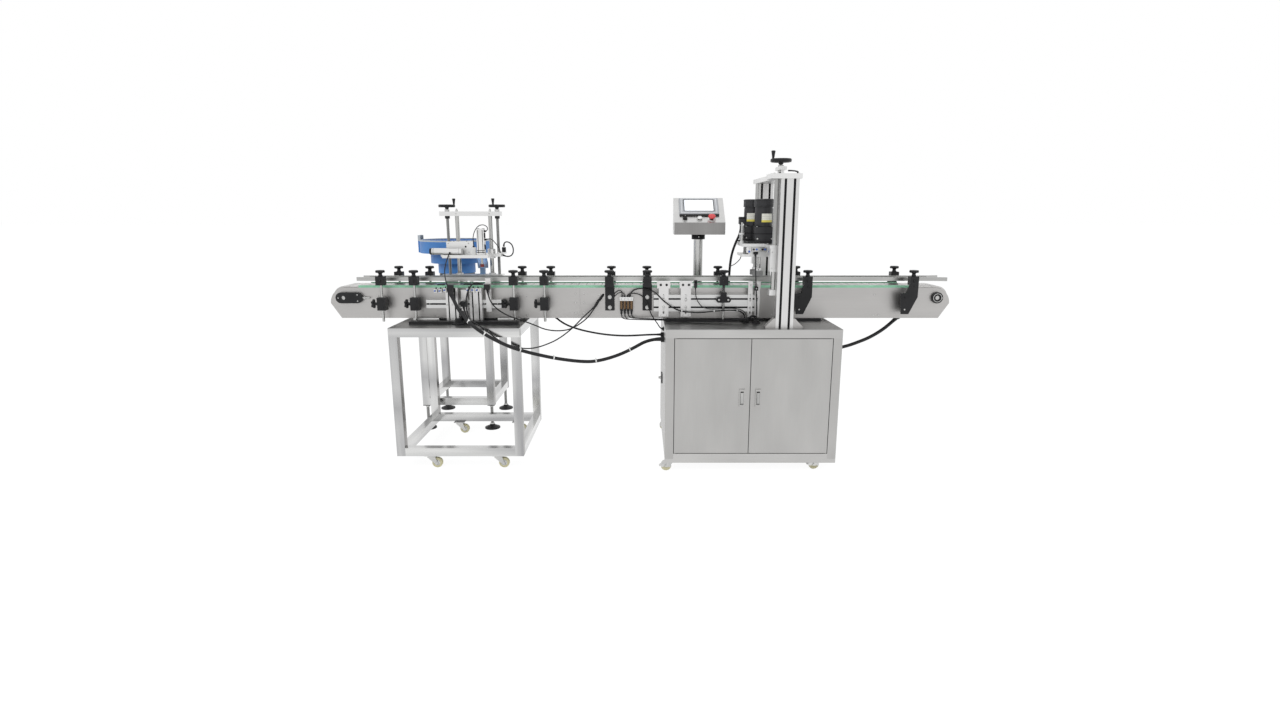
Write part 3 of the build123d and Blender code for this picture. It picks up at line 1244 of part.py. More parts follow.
FEEDER_HARNESS = (
    (-882, -392, 812),
    (-860.882, -417.14, 774.29),
    (-823, -469, 739),
    (-764, -531, 697),
    (-699, -564, 659),
    (-607, -561, 609),
    (-540, -548, 582),
    (-453, -523, 554),
    (-375, -500, 533),
    (-276, -472, 514),
    (-206, -450, 510),
    (-118, -420, 528),
    (-44, -394, 556),
    (44, -367, 602),
    (100, -367, 602),
)
PLACER_CABLE = (
    (-834, -372, 748),
    (-822.667, -394.667, 725.333),
    (-797, -438, 707),
    (-756, -496, 700),
    (-710, -534, 683),
    (-645, -551, 633),
    (-596, -549, 607),
    (-532, -528, 586),
    (-477, -497, 584),
    (-409, -453, 603),
    (-366, -424, 625),
    (-316, -390, 662),
    (-275, -365, 704),
    (-218.965, -329.516, 751.381),
    (-196, -304, 782),
)
SENSOR_CABLE = (
    (-722, -356, 826),
    (-715.399, -365.902, 796.295),
    (-686, -383, 756),
    (-629, -396, 721),
    (-571, -398, 702),
    (-497, -394, 674),
    (-449, -390, 651),
    (-381, -383, 643),
    (-322, -373, 653),
    (-259, -346, 693),
    (-229.492, -320.865, 728.388),
    (-216, -304, 752),
)
LINE_CABLE = (
    (-424, -212, 688),
    (-399.466, -220.86, 666.192),
    (-347, -242, 642),
    (-270, -264, 623),
    (-173, -288, 610),
    (-90, -305, 607),
    (-27, -315, 610),
    (54, -326, 617),
    (100, -326, 617),
)
MOTOR_CONDUIT = (
    (1284, -203, 682),
    (1252.26, -204.763, 651.581),
    (1210, -208, 617),
    (1150, -214, 582),
    (1092, -218, 559),
    (1040, -222, 541),
    (972, -225, 526),
    (930, -225, 526),
)
HEAD_HOSE = (
    (500, -145, 1140),
    (500, -145, 1100),
    (477, -126, 1047),
    (460, -95, 977),
    (455, -83, 882),
    (455, -83, 791),
    (456, -84, 729),
    (457, -85, 650),
    (457, -85, 590),
)


def cable(name, points, diameter):
    """A tube along the route: every arc takes 0.45 of its shorter run."""
    places = [Vector(*point) for point in points]
    runs = [b - a for a, b in zip(places, places[1:])]
    radii = []
    for before, after in zip(runs, runs[1:]):
        turn = math.radians(before.get_angle(after))
        radii.append(0.45 * min(before.length, after.length) / math.tan(turn / 2))
    path = FilletPolyline(*places, radius=radii)
    start = Plane(origin=places[0], z_dir=runs[0])
    tube = sweep(start * Circle(diameter / 2), path=path, transition=Transition.RIGHT)
    drawn = math.pi * diameter**2 / 4 * path.length
    tight = min(radii) / diameter
    print(name, "length", round(path.length), "volume share", round(tube.volume / drawn, 4), "tightest", round(tight, 1))
    print("  radii", [round(radius) for radius in radii])
    return [tube]


def nipple(points, radius, length, inset=0.0):
    """A short round gland in line with the end of a cable, its face on the cable's end."""
    start = Vector(*points[0])
    run = (Vector(*points[1]) - start).normalized()
    plane = Plane(origin=start - run * length, z_dir=run)
    return extrude(plane * Circle(radius), length + inset)


def cable_ends():
    """The glands and the sensor heads that the cables of the conveyor end in."""
    solids = []
    beyond = block(-400, 0, FRONT_FACE, FRONT_FACE + 80, PLATE_BOTTOM, PLATE_TOP)
    for points in (PLACER_CABLE, SENSOR_CABLE):
        solids.append(nipple(points[::-1], 6.5, 44) - beyond)
    bar = PLATE_BOTTOM + 5
    for points, radius in ((LINE_CABLE, 8.0), (MOTOR_CONDUIT, 13.0)):
        x, y, z = points[0]
        above = block(x - 60, x + 60, y - 60, y + 60, bar, bar + 60)
        solids.append(nipple(points, radius, 40) - above)
    face = FRONT_FACE - SLOT_PITCH
    routes = (FEEDER_HARNESS, PLACER_CABLE, SENSOR_CABLE)
    for (x, y, z, height), points, radius in zip(HEAD_SENSORS, routes, (11.0, 5.5, 5.5)):
        head = block(x - 13, x + 13, y - 13, min(y + 13, face - 12), z, z + height)
        shield = block(x - 40, x + 40, face - 12, face + 40, z - 60, z + height)
        solids.append(head + nipple(points, radius, 24) - shield)
    return solids


PIECES = {
    "side_plates": side_plates(),
    "slat_chain": slat_chain(),
    "wear_strips": wear_strips(),
    "line_fittings": conveyor_mounts() + cable_ends(),
    "end_bearings": end_bearings(),
    "idler_roller": idler_roller(),
    "drive_roller": drive_roller(),
    "conveyor_motor": conveyor_motor(),
    "front_rail": [rail_with_rods(0.0)],
    "rear_rail": [mirrored(rail_with_rods(0.0))],
    "rail_brackets": rail_supports(),
    "clamp_knobs": clamp_knobs(),
    "slot_bars": slot_bars() + sensor_plates(),
    "air_manifold": air_manifold(),
    "cabinet_frame": cabinet_frame(),
    "cabinet_panels": cabinet_panels(),
    "left_door": cabinet_door(
        CABINET_INNER_LEFT + DOOR_GAP, DOOR_SPLIT_X - DOOR_GAP / 2, door_pivots()[0], DOOR_SPLIT_X - LATCH_OFFSET
    ),
    "right_door": cabinet_door(
        DOOR_SPLIT_X + DOOR_GAP / 2, CABINET_INNER_RIGHT - DOOR_GAP, door_pivots()[1], DOOR_SPLIT_X + LATCH_OFFSET
    ),
    "left_latch": latch_handle(DOOR_SPLIT_X - LATCH_OFFSET),
    "right_latch": latch_handle(DOOR_SPLIT_X + LATCH_OFFSET),
    "cabinet_casters": cabinet_casters(),
    "cart_frame": cart_frame(),
    "feeder_stand": feeder_stand(),
    "levelling_feet": levelling_feet(),
    "bowl": bowl(),
    "bowl_drive": bowl_drive(),
    "cap_chute": cap_chute(),
    "feeder_columns": feeder_columns(),
    "left_lift_screw": feeder_screw(LEFT_SCREW_X, 20.0),
    "right_lift_screw": feeder_screw(RIGHT_SCREW_X, 250.0),
    "feeder_carriage": feeder_carriage(),
    "placing_rod": placing_rod(),
    "gantry_columns": gantry_columns(),
    "gantry_top": gantry_top(),
    "guide_rods": guide_rods(),
    "head_lift_screw": lift_screw(),
    "head_carriage": head_carriage(),
    "cap_motors": cap_motors(),
    "front_cap_wheel": capping_spindle(-1),
    "rear_cap_wheel": capping_spindle(1),
    "panel_post": panel_post(),
    "control_box": control_box(),
    "touch_screen": touch_screen(),
    "emergency_stop": emergency_stop(),
    "push_button": push_button(),
    "selector_switch": selector_switch(),
    "feeder_harness": cable("feeder_harness", FEEDER_HARNESS, 16.0),
    "placer_cable": cable("placer_cable", PLACER_CABLE, 6.0),
    "sensor_cable": cable("sensor_cable", SENSOR_CABLE, 6.0),
    "line_cable": cable("line_cable", LINE_CABLE, 9.0),
    "motor_conduit": cable("motor_conduit", MOTOR_CONDUIT, 17.0),
    "head_hose": cable("head_hose", HEAD_HOSE, 12.0),
}
for corner, (x, y, turn) in CART_CASTERS.items():
    plate, fork, wheel = caster(x, y, turn, False)
    PIECES["caster_fork_" + corner] = [fork]
    PIECES["caster_wheel_" + corner] = [wheel]

os.makedirs("parts", exist_ok=True)
for name, solids in PIECES.items():
    flat = []
    for piece in solids:
        flat += list(piece.solids())
    export_step(Compound(children=flat) if len(flat) > 1 else flat[0], "parts/" + name + ".step")
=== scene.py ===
"""Finishes, fittings and cables of the bottle capping machine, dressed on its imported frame."""

from __future__ import annotations

import json
import logging
import math
from dataclasses import dataclass, field
from enum import Enum
from typing import Callable, Sequence

import bmesh
import bpy
import numpy as np
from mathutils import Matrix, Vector

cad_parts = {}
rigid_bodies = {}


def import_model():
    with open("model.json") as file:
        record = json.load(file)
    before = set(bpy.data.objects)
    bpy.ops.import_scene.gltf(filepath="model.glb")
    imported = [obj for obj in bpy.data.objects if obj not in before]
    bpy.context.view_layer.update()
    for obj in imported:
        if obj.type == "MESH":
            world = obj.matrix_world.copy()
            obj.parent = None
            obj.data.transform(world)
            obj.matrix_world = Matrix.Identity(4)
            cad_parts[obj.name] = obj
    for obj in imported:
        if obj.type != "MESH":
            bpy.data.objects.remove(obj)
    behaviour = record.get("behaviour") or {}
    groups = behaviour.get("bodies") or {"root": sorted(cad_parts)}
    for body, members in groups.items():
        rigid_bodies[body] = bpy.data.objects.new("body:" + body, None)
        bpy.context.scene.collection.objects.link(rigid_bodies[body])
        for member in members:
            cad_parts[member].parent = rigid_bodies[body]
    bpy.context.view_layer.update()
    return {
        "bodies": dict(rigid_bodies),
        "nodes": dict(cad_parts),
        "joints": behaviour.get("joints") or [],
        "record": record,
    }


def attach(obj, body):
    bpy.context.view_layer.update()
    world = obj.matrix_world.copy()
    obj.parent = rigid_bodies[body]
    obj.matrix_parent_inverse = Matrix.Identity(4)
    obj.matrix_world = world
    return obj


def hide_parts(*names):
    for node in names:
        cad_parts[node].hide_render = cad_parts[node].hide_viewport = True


log = logging.getLogger("capping_machine")

Point = tuple[float, float, float]
Span = tuple[float, float]
Box = tuple[Point, Point]
Profile = Sequence[Span]
Ripple = Callable[[np.ndarray], np.ndarray]
MM = 0.001
MERGE = 0.00004
SHARP = math.radians(38)
EVERY = 5000.0
EVEN = (1, 1, 1)
LANE_Y = -203.0
TABLE_Z = 680.0
BARRELS_X = (-89.9, -73.6, -57.4, -41.1)
BARRELS_Y = -304.0


class Axis(Enum):
    """A direction of the row frame, as its index."""

    X = 0
    Y = 1
    Z = 2


X, Y, Z = Axis


# Shader maths


class Value:
    """A socket whose operators add Math nodes to its tree."""

    def __init__(self, graph: Graph, socket: bpy.types.NodeSocket) -> None:
        """Keeps the tree and the socket."""
        self.graph = graph
        self.socket = socket

    def _math(self, kind: str, a: Value | float, b: Value | float) -> Value:
        """One Math node on two values."""
        return self.graph.node("ShaderNodeMath", {"operation": kind}, {0: a, 1: b})

    def __add__(self, other: Value | float) -> Value:
        """self + other."""
        return self._math("ADD", self, other)

    def __radd__(self, other: float) -> Value:
        """other + self."""
        return self._math("ADD", other, self)

    def __sub__(self, other: Value | float) -> Value:
        """self - other."""
        return self._math("SUBTRACT", self, other)

    def __rsub__(self, other: float) -> Value:
        """other - self."""
        return self._math("SUBTRACT", other, self)

    def __mul__(self, other: Value | float) -> Value:
        """self * other."""
        return self._math("MULTIPLY", self, other)

    def __rmul__(self, other: float) -> Value:
        """other * self."""
        return self._math("MULTIPLY", other, self)

    def __truediv__(self, other: Value | float) -> Value:
        """self / other."""
        return self._math("DIVIDE", self, other)

    def __gt__(self, other: Value | float) -> Value:
        """1 where self is greater, otherwise 0."""
        return self._math("GREATER_THAN", self, other)

    def most(self, other: Value | float) -> Value:
        """The greater of the two."""
        return self._math("MAXIMUM", self, other)

    def ramp(self, low: float, high: float) -> Value:
        """0 at low and 1 at high, straight between and held outside."""
        sockets = {"Value": self, "From Min": low, "From Max": high}
        return self.graph.node("ShaderNodeMapRange", {"clamp": True}, sockets)


class Graph:
    """The node tree of one material, or of a world."""

    def __init__(self, name: str, world: bool = False) -> None:
        """Makes an empty material or world with its output.

        Args:
            name: The name of the material or world.
            world: Whether it is a world.
        """
        self.owner = (bpy.data.worlds if world else bpy.data.materials).new(name)
        self.owner.use_nodes = True
        self.tree = self.owner.node_tree
        self.tree.nodes.clear()
        self.output = self.tree.nodes.new("ShaderNodeOutputWorld" if world else "ShaderNodeOutputMaterial")

    def node(
        self, kind: str, settings: dict | None = None, sockets: dict | None = None, out: int | str = 0
    ) -> Value:
        """Adds one node.

        Args:
            kind: The node's type.
            settings: Attributes, set before the sockets.
            sockets: Input socket to its value or link.
            out: The output that the result stands for.

        Returns:
            The chosen output as a Value.
        """
        made = self.tree.nodes.new(kind)
        for key, value in (settings or {}).items():
            setattr(made, key, value)
        for key, value in (sockets or {}).items():
            target = made.inputs[key]
            if isinstance(value, Value):
                self.tree.links.new(value.socket, target)
            elif isinstance(value, tuple) and len(value) == 3 and target.type == "RGBA":
                target.default_value = (*value, 1.0)
            else:
                target.default_value = value
        return Value(self, made.outputs[out])

    def axes(self) -> tuple[Value, Value, Value]:
        """The three object coordinates, in metres.

        Returns:
            X, Y and Z.
        """
        raw = self.node("ShaderNodeTexCoord", out="Object")
        outputs = self.node("ShaderNodeSeparateXYZ", {}, {0: raw}).socket.node.outputs
        return tuple(Value(self, output) for output in outputs)

    def noise(self, stretch: Point, scale: float, detail: float = 2.0) -> Value:
        """Noise from 0 to 1, with a scale along each axis.

        Args:
            stretch: The scale along each axis.
            scale: The noise's own scale.
            detail: The noise's detail.

        Returns:
            The noise.
        """
        raw = self.node("ShaderNodeTexCoord", out="Object")
        place = self.node("ShaderNodeMapping", {}, {"Vector": raw, "Scale": stretch})
        return self.node("ShaderNodeTexNoise", {}, {"Vector": place, "Scale": scale, "Detail": detail})

    def blend(self, share: Value, a: Value | Point, b: Value | Point) -> Value:
        """Colour a where share is 0, and b where it is 1.

        Args:
            share: From 0 to 1.
            a: The colour at 0.
            b: The colour at 1.

        Returns:
            The mixed colour.
        """
        node = self.node("ShaderNodeMix", {"data_type": "RGBA"}).socket.node
        sockets = [s for s in node.inputs if s.name in ("A", "B") and s.type == "RGBA"]
        for target, value in ((node.inputs[0], share), (sockets[0], a), (sockets[1], b)):
            if isinstance(value, Value):
                self.tree.links.new(value.socket, target)
            else:
                target.default_value = (*value, 1.0)
        return Value(self, next(s for s in node.outputs if s.type == "RGBA"))

    def bump(self, height: Value, depth: float) -> Value:
        """A normal from a height in parts of a depth in metres."""
        return self.node("ShaderNodeBump", {}, {"Height": height, "Distance": depth})

    def wave(self, height: Value, pitch: float) -> Value:
        """A triangle wave of a height: 0 at each whole pitch and 1 midway."""
        half = pitch / 2
        return self.node("ShaderNodeMath", {"operation": "PINGPONG"}, {0: height, 1: half}) / half

    def seen(self) -> Value:
        """1 on rays of the camera, through glass or off a gloss, otherwise 0.

        Returns:
            1 or 0.
        """
        rays = self.node("ShaderNodeLightPath").socket.node.outputs
        camera, glossy, through = (
            Value(self, rays[f"Is {kind} Ray"]) for kind in ("Camera", "Glossy", "Transmission")
        )
        return camera.most(glossy).most(through)

    def end(self, shader: Value) -> bpy.types.Material | bpy.types.World:
        """Links a shader to the output and gives back the material or world."""
        self.tree.links.new(shader.socket, self.output.inputs[0])
        return self.owner

    def surface(self, sockets: dict) -> bpy.types.Material:
        """Ends the tree in one Principled shader."""
        return self.end(self.node("ShaderNodeBsdfPrincipled", {}, sockets))


def along_axis(axis: Axis, across: float, along: float) -> Point:
    """A scale with one value along an axis and another across it.

    Args:
        axis: The axis.
        across: The value on the two others.
        along: The value along it.

    Returns:
        The scale on X, Y and Z.
    """
    scale = [across, across, across]
    scale[axis.value] = along
    return tuple(scale)


def shade(colour: Point, share: float) -> Point:
    """A colour times a share, held at white."""
    return tuple(min(1.0, c * share) for c in colour)


# Finishes


@dataclass(frozen=True)
class Finish:
    """A finish with one colour and a fine grain: moulded plastic, rubber or paint."""

    name: str
    colour: Point
    roughness: float = 0.45
    grain: float = 900.0
    depth: float = 0.00006
    coat: float = 0.0
    wear: float = 0.12
    shine: float = 0.5

    def build(self) -> bpy.types.Material:
        """The material: colour and roughness drift with broad noise, and fine noise gives the grain.

        Returns:
            The material.
        """
        graph = Graph(self.name)
        broad = graph.noise(EVEN, 14.0, 3.0)
        fine = graph.noise(EVEN, self.grain)
        light = tuple(min(1.0, c * (1 + self.wear) + 0.004) for c in self.colour)
        return graph.surface({
            "Base Color": graph.blend(broad.ramp(0.3, 0.7), shade(self.colour, 1 - self.wear), light),
            "Roughness": self.roughness - 0.06 + broad * 0.12,
            "Coat Weight": self.coat,
            "Specular IOR Level": self.shine,
            "Normal": graph.bump(fine, self.depth),
        })


@dataclass(frozen=True)
class Metal:
    """A bare metal with its grain along one axis."""

    name: str
    colour: Point
    roughness: float = 0.3
    along: Axis = X
    streak: float = 0.05
    cloud: float = 0.08

    def build(self) -> bpy.types.Material:
        """The material: streaks along the grain, and clouds of duller and brighter metal.

        Returns:
            The material.
        """
        graph = Graph(self.name)
        streaks = graph.noise(along_axis(self.along, 1.0, 0.012), 700.0, 3.0)
        clouds = graph.noise(along_axis(self.along, 1.0, 0.35), 7.0, 3.0)
        share = clouds * 0.7 + streaks * 0.3
        dull = shade(self.colour, 1 - self.cloud * 2)
        return graph.surface({
            "Base Color": graph.blend(share.ramp(0.32, 0.68), dull, shade(self.colour, 1 + self.cloud)),
            "Roughness": self.roughness - self.streak + streaks * 2 * self.streak + clouds * 0.08,
            "Metallic": 1.0,
            "Normal": graph.bump(streaks, 0.000015),
        })


@dataclass(frozen=True)
class Polished:
    """Polished tube: mirror steel with painted reflections in soft bands along one axis, and painted shade
    near a given height.
    """

    name: str
    along: Axis
    bright: Point = (0.70, 0.70, 0.69)
    dark: Point = (0.36, 0.36, 0.365)
    roughness: float = 0.13
    dim_from: float = 0.20
    dim_to: float = 0.40

    def build(self) -> bpy.types.Material:
        """The material: long bands of painted reflection, and a dim stretch of painted shade as a product of
        two ramps of the height.

        Returns:
            The material.
        """
        graph = Graph(self.name)
        _, _, z = graph.axes()
        # Painted reflections: long dark and bright bands that stand in for what the mirror steel reflects.
        bands = graph.noise(along_axis(self.along, 1.0, 0.05), 16.0, 2.0)
        waves = graph.noise(along_axis(self.along, 1.0, 0.5), 4.0, 1.0)
        fine = graph.noise(along_axis(self.along, 1.0, 0.02), 600.0, 2.0)
        # Painted shade: the bands dim between two heights.
        middle = (self.dim_from + self.dim_to) / 2
        dim = z.ramp(self.dim_from, middle) * (1 - z.ramp(middle, self.dim_to))
        share = (bands * 0.7 + waves * 0.3).ramp(0.34, 0.62) * (1 - dim * 0.75)
        return graph.surface({
            "Base Color": graph.blend(share, self.dark, self.bright),
            "Roughness": self.roughness + fine * 0.08,
            "Metallic": 1.0,
            "Normal": graph.bump(fine, 0.00001),
        })


@dataclass(frozen=True)
class Threaded:
    """A threaded bar along Z: dark valleys and bright crests at the pitch."""

    name: str
    colour: Point = (0.44, 0.44, 0.43)
    pitch: float = 0.004

    def build(self) -> bpy.types.Material:
        """The material: a triangle wave of the height drives the colour and the bump.

        Returns:
            The material.
        """
        graph = Graph(self.name)
        _, _, z = graph.axes()
        crest = graph.wave(z, self.pitch)
        return graph.surface({
            "Base Color": graph.blend(crest, shade(self.colour, 0.3), self.colour),
            "Roughness": 0.28 + (1 - crest) * 0.2,
            "Metallic": 1.0,
            "Normal": graph.bump(crest, 0.0008),
        })


@dataclass(frozen=True)
class BowlCoat:
    """The blue coating of the bowl, with its bare grey lip at the top."""

    name: str = "bowl_coat"
    lip: float = 1.0385

    def build(self) -> bpy.types.Material:
        """The material: blue with a soft orange peel, and grey metal above the lip's height.

        Returns:
            The material.
        """
        graph = Graph(self.name)
        _, _, z = graph.axes()
        lip = z > self.lip
        broad = graph.noise(EVEN, 9.0, 3.0)
        peel = graph.noise(EVEN, 420.0)
        blue = graph.blend(broad.ramp(0.3, 0.7), (0.060, 0.205, 0.53), (0.085, 0.27, 0.64))
        return graph.surface({
            "Base Color": graph.blend(lip, blue, (0.42, 0.46, 0.50)),
            "Roughness": 0.42 + broad * 0.12 - lip * 0.12,
            "Metallic": lip,
            "Normal": graph.bump(peel, 0.00012),
        })


@dataclass(frozen=True)
class ScreenPage:
    """A lit screen with a blank pale page, a bar at its foot and a soft shade across."""

    name: str = "screen_page"
    left: float = 0.2304
    right: float = 0.3796
    bar_top: float = 1.2038

    def build(self) -> bpy.types.Material:
        """The material: a pale page that glows a little, under a gloss cover.

        Returns:
            The material.
        """
        graph = Graph(self.name)
        x, _, z = graph.axes()
        page = graph.blend(x.ramp(self.left, self.right), (0.86, 0.89, 0.93), (0.93, 0.94, 0.95))
        colour = graph.blend(z > self.bar_top, (0.70, 0.76, 0.82), page)
        return graph.surface({
            "Base Color": colour,
            "Roughness": 0.12,
            "Emission Color": colour,
            "Emission Strength": 0.2,
            "Coat Weight": 0.5,
        })


@dataclass(frozen=True)
class LabelPlate:
    """A blank rating plate: pale, with a coloured band below a height and faint ruled fields."""

    name: str
    band: float
    pale: Point = (0.80, 0.79, 0.70)
    colour: Point = (0.72, 0.62, 0.10)
    rule: float = 0.011

    def build(self) -> bpy.types.Material:
        """The material: fields ruled by a wave of the height, and a band under them.

        Returns:
            The material.
        """
        graph = Graph(self.name)
        _, _, z = graph.axes()
        ruled = graph.blend(graph.wave(z, self.rule).ramp(0.10, 0.16), shade(self.pale, 0.72), self.pale)
        soft = graph.noise(EVEN, 60.0)
        return graph.surface({
            "Base Color": graph.blend(z > self.band, self.colour, ruled),
            "Roughness": 0.34 + soft * 0.12,
            "Coat Weight": 0.2,
            "Normal": graph.bump(soft, 0.00002),
        })


class Paint:
    """The finishes of the machine, each built once."""

    def __init__(self) -> None:
        """Builds every finish."""
        kinds = (
            Metal("steel_upright", (0.465, 0.46, 0.45), 0.34, Z, 0.05, 0.05),
            Metal("steel_level", (0.52, 0.515, 0.505), 0.32, X, 0.05, 0.06),
            Metal("steel_plate", (0.49, 0.48, 0.47), 0.36, X, 0.05, 0.05),
            Metal("steel_top", (0.40, 0.40, 0.395), 0.26, X, 0.04, 0.10),
            # Lit and shaded copies of the console's steel: painted shade on its front, foot and side slats,
            # painted light on the slope and the rest of the box.
            Metal("console_painted_shade", (0.30, 0.295, 0.29), 0.34, Z, 0.05, 0.12),
            Metal("console_painted_light", (0.68, 0.68, 0.675), 0.38, X, 0.05, 0.05),
            Metal("bright_rod", (0.50, 0.50, 0.49), 0.20, Z, 0.05, 0.20),
            Metal("bright_bar", (0.50, 0.50, 0.49), 0.26, X, 0.05, 0.14),
            Metal("screw_steel", (0.62, 0.62, 0.61), 0.26, Z, 0.04, 0.12),
            Metal("chain_steel", (0.58, 0.57, 0.56), 0.30, Y, 0.06, 0.12),
            Metal("zinc", (0.60, 0.60, 0.59), 0.30, Z, 0.05, 0.14),
            Metal("anodised_upright", (0.70, 0.695, 0.69), 0.34, Z, 0.04, 0.06),
            Metal("anodised_level", (0.70, 0.70, 0.695), 0.36, X, 0.04, 0.06),
            Metal("milled_plate", (0.78, 0.78, 0.775), 0.34, X, 0.05, 0.06),
            Metal("brown_brass", (0.20, 0.13, 0.075), 0.34, Z, 0.06, 0.14),
            Polished("polished_x", X),
            Polished("polished_y", Y),
            Polished("polished_z", Z),
            # A darker copy of the polished tube: painted shade on the right faces of the uprights.
            Polished("polished_painted_shade_side", Z, (0.40, 0.39, 0.38), (0.10, 0.095, 0.09), 0.16, 0.22, 0.38),
            Threaded("thread"),
            BowlCoat(),
            ScreenPage(),
            LabelPlate("front_label", 1.160),
            LabelPlate("rear_label", 1.162),
            Finish("chute_coat", (0.26, 0.42, 0.66), 0.38, 420.0, 0.00008, 0.1, 0.08),
            Finish("moulded_black", (0.012, 0.012, 0.013), 0.42, 1100.0, 0.00008, 0.0, 0.12, 0.28),
            # Near-black and dull: real black screws, joints and a lens, and painted shade in slots, grooves
            # and a key slot.
            Finish("black_and_slot_shade", (0.007, 0.007, 0.008), 0.6, 700.0, 0.00004, 0.0, 0.12, 0.12),
            Finish("motor_black", (0.022, 0.022, 0.024), 0.36, 500.0, 0.00006, 0.08, 0.12, 0.35),
            Finish("cable_black", (0.010, 0.010, 0.011), 0.36, 1400.0, 0.00003, 0.0, 0.12, 0.3),
            Finish("wear_green", (0.26, 0.56, 0.37), 0.40, 600.0, 0.00005, 0.0, 0.16),
            Finish("cream_tread", (0.64, 0.60, 0.38), 0.46, 700.0, 0.00008, 0.0, 0.10),
            Finish("white_plastic", (0.78, 0.78, 0.76), 0.36, 800.0, 0.00003, 0.0, 0.04),
            Finish("grey_bezel", (0.36, 0.37, 0.385), 0.40, 900.0, 0.00005, 0.0, 0.05),
            Finish("pale_frame", (0.60, 0.61, 0.62), 0.34, 900.0, 0.00004, 0.0, 0.04),
            Finish("stop_red", (0.62, 0.03, 0.035), 0.28, 300.0, 0.00002, 0.4, 0.08),
            Finish("tip_red", (0.22, 0.035, 0.03), 0.5, 500.0, 0.00006),
            Finish("tyre", (0.26, 0.26, 0.255), 0.62, 600.0, 0.0001),
            Finish("fitting_blue", (0.06, 0.13, 0.45), 0.30, 500.0, 0.00003, 0.2),
        )
        self.made = {kind.name: kind.build() for kind in kinds}

    def __getitem__(self, name: str) -> bpy.types.Material:
        """The material of that name."""
        return self.made[name]


# Meshes


def placed(name: str, data: bpy.types.ID) -> bpy.types.Object:
    """A new object in the scene.

    Args:
        name: The object's name.
        data: Its mesh, light or camera.

    Returns:
        The object.
    """
    made = bpy.data.objects.new(name, data)
    bpy.context.scene.collection.objects.link(made)
    return made


def grid_faces(rows: int, columns: int, loop_rows: bool, loop_columns: bool) -> np.ndarray:
    """The quads of a grid of points, closed round where asked.

    Args:
        rows: The number of rows of points.
        columns: The number of points in a row.
        loop_rows: Whether the last row joins the first.
        loop_columns: Whether each row closes on itself.

    Returns:
        The numbers of each quad's four points.
    """
    along = np.arange(rows if loop_rows else rows - 1)
    across = np.arange(columns if loop_columns else columns - 1)
    row, column = np.meshgrid(along, across, indexing="ij")
    low = row * columns
    high = (row + 1) % rows * columns
    beside = (column + 1) % columns
    return np.stack((low + column, low + beside, high + beside, high + column), axis=-1).reshape(-1, 4)


def rounded_rectangle(half_x: float, half_y: float, soft: float) -> np.ndarray:
    """The outline of a rectangle: at each corner an arc of the rounding, a quarter turn in four points.

    Args:
        half_x: Half its length along X.
        half_y: Half its length along Y.
        soft: The radius of its corners.

    Returns:
        Its points, once round.
    """
    quarter = np.radians(np.linspace(0.0, 90.0, 4))
    arcs = []
    for step, (side_x, side_y) in enumerate(((1, 1), (-1, 1), (-1, -1), (1, -1))):
        turn = quarter + step * math.pi / 2
        x = side_x * (half_x - soft) + soft * np.cos(turn)
        arcs.append(np.stack((x, side_y * (half_y - soft) + soft * np.sin(turn)), axis=-1))
    return np.concatenate(arcs)


def lobed(count: int, dip: float) -> Ripple:
    """A scale of the radius: one less a dip that the cosine of the lobe count gives."""
    return lambda turn: 1 - dip * (0.5 - 0.5 * np.cos(count * turn)) ** 0.8


def barrel(radius: float, height: float, ease: float, drop: float) -> Profile:
    """A round or six-sided bar's profile: at each end it draws in by the drop over the ease."""
    return [(radius - drop, 0.0), (radius, ease), (radius, height - ease), (radius - drop, height)]


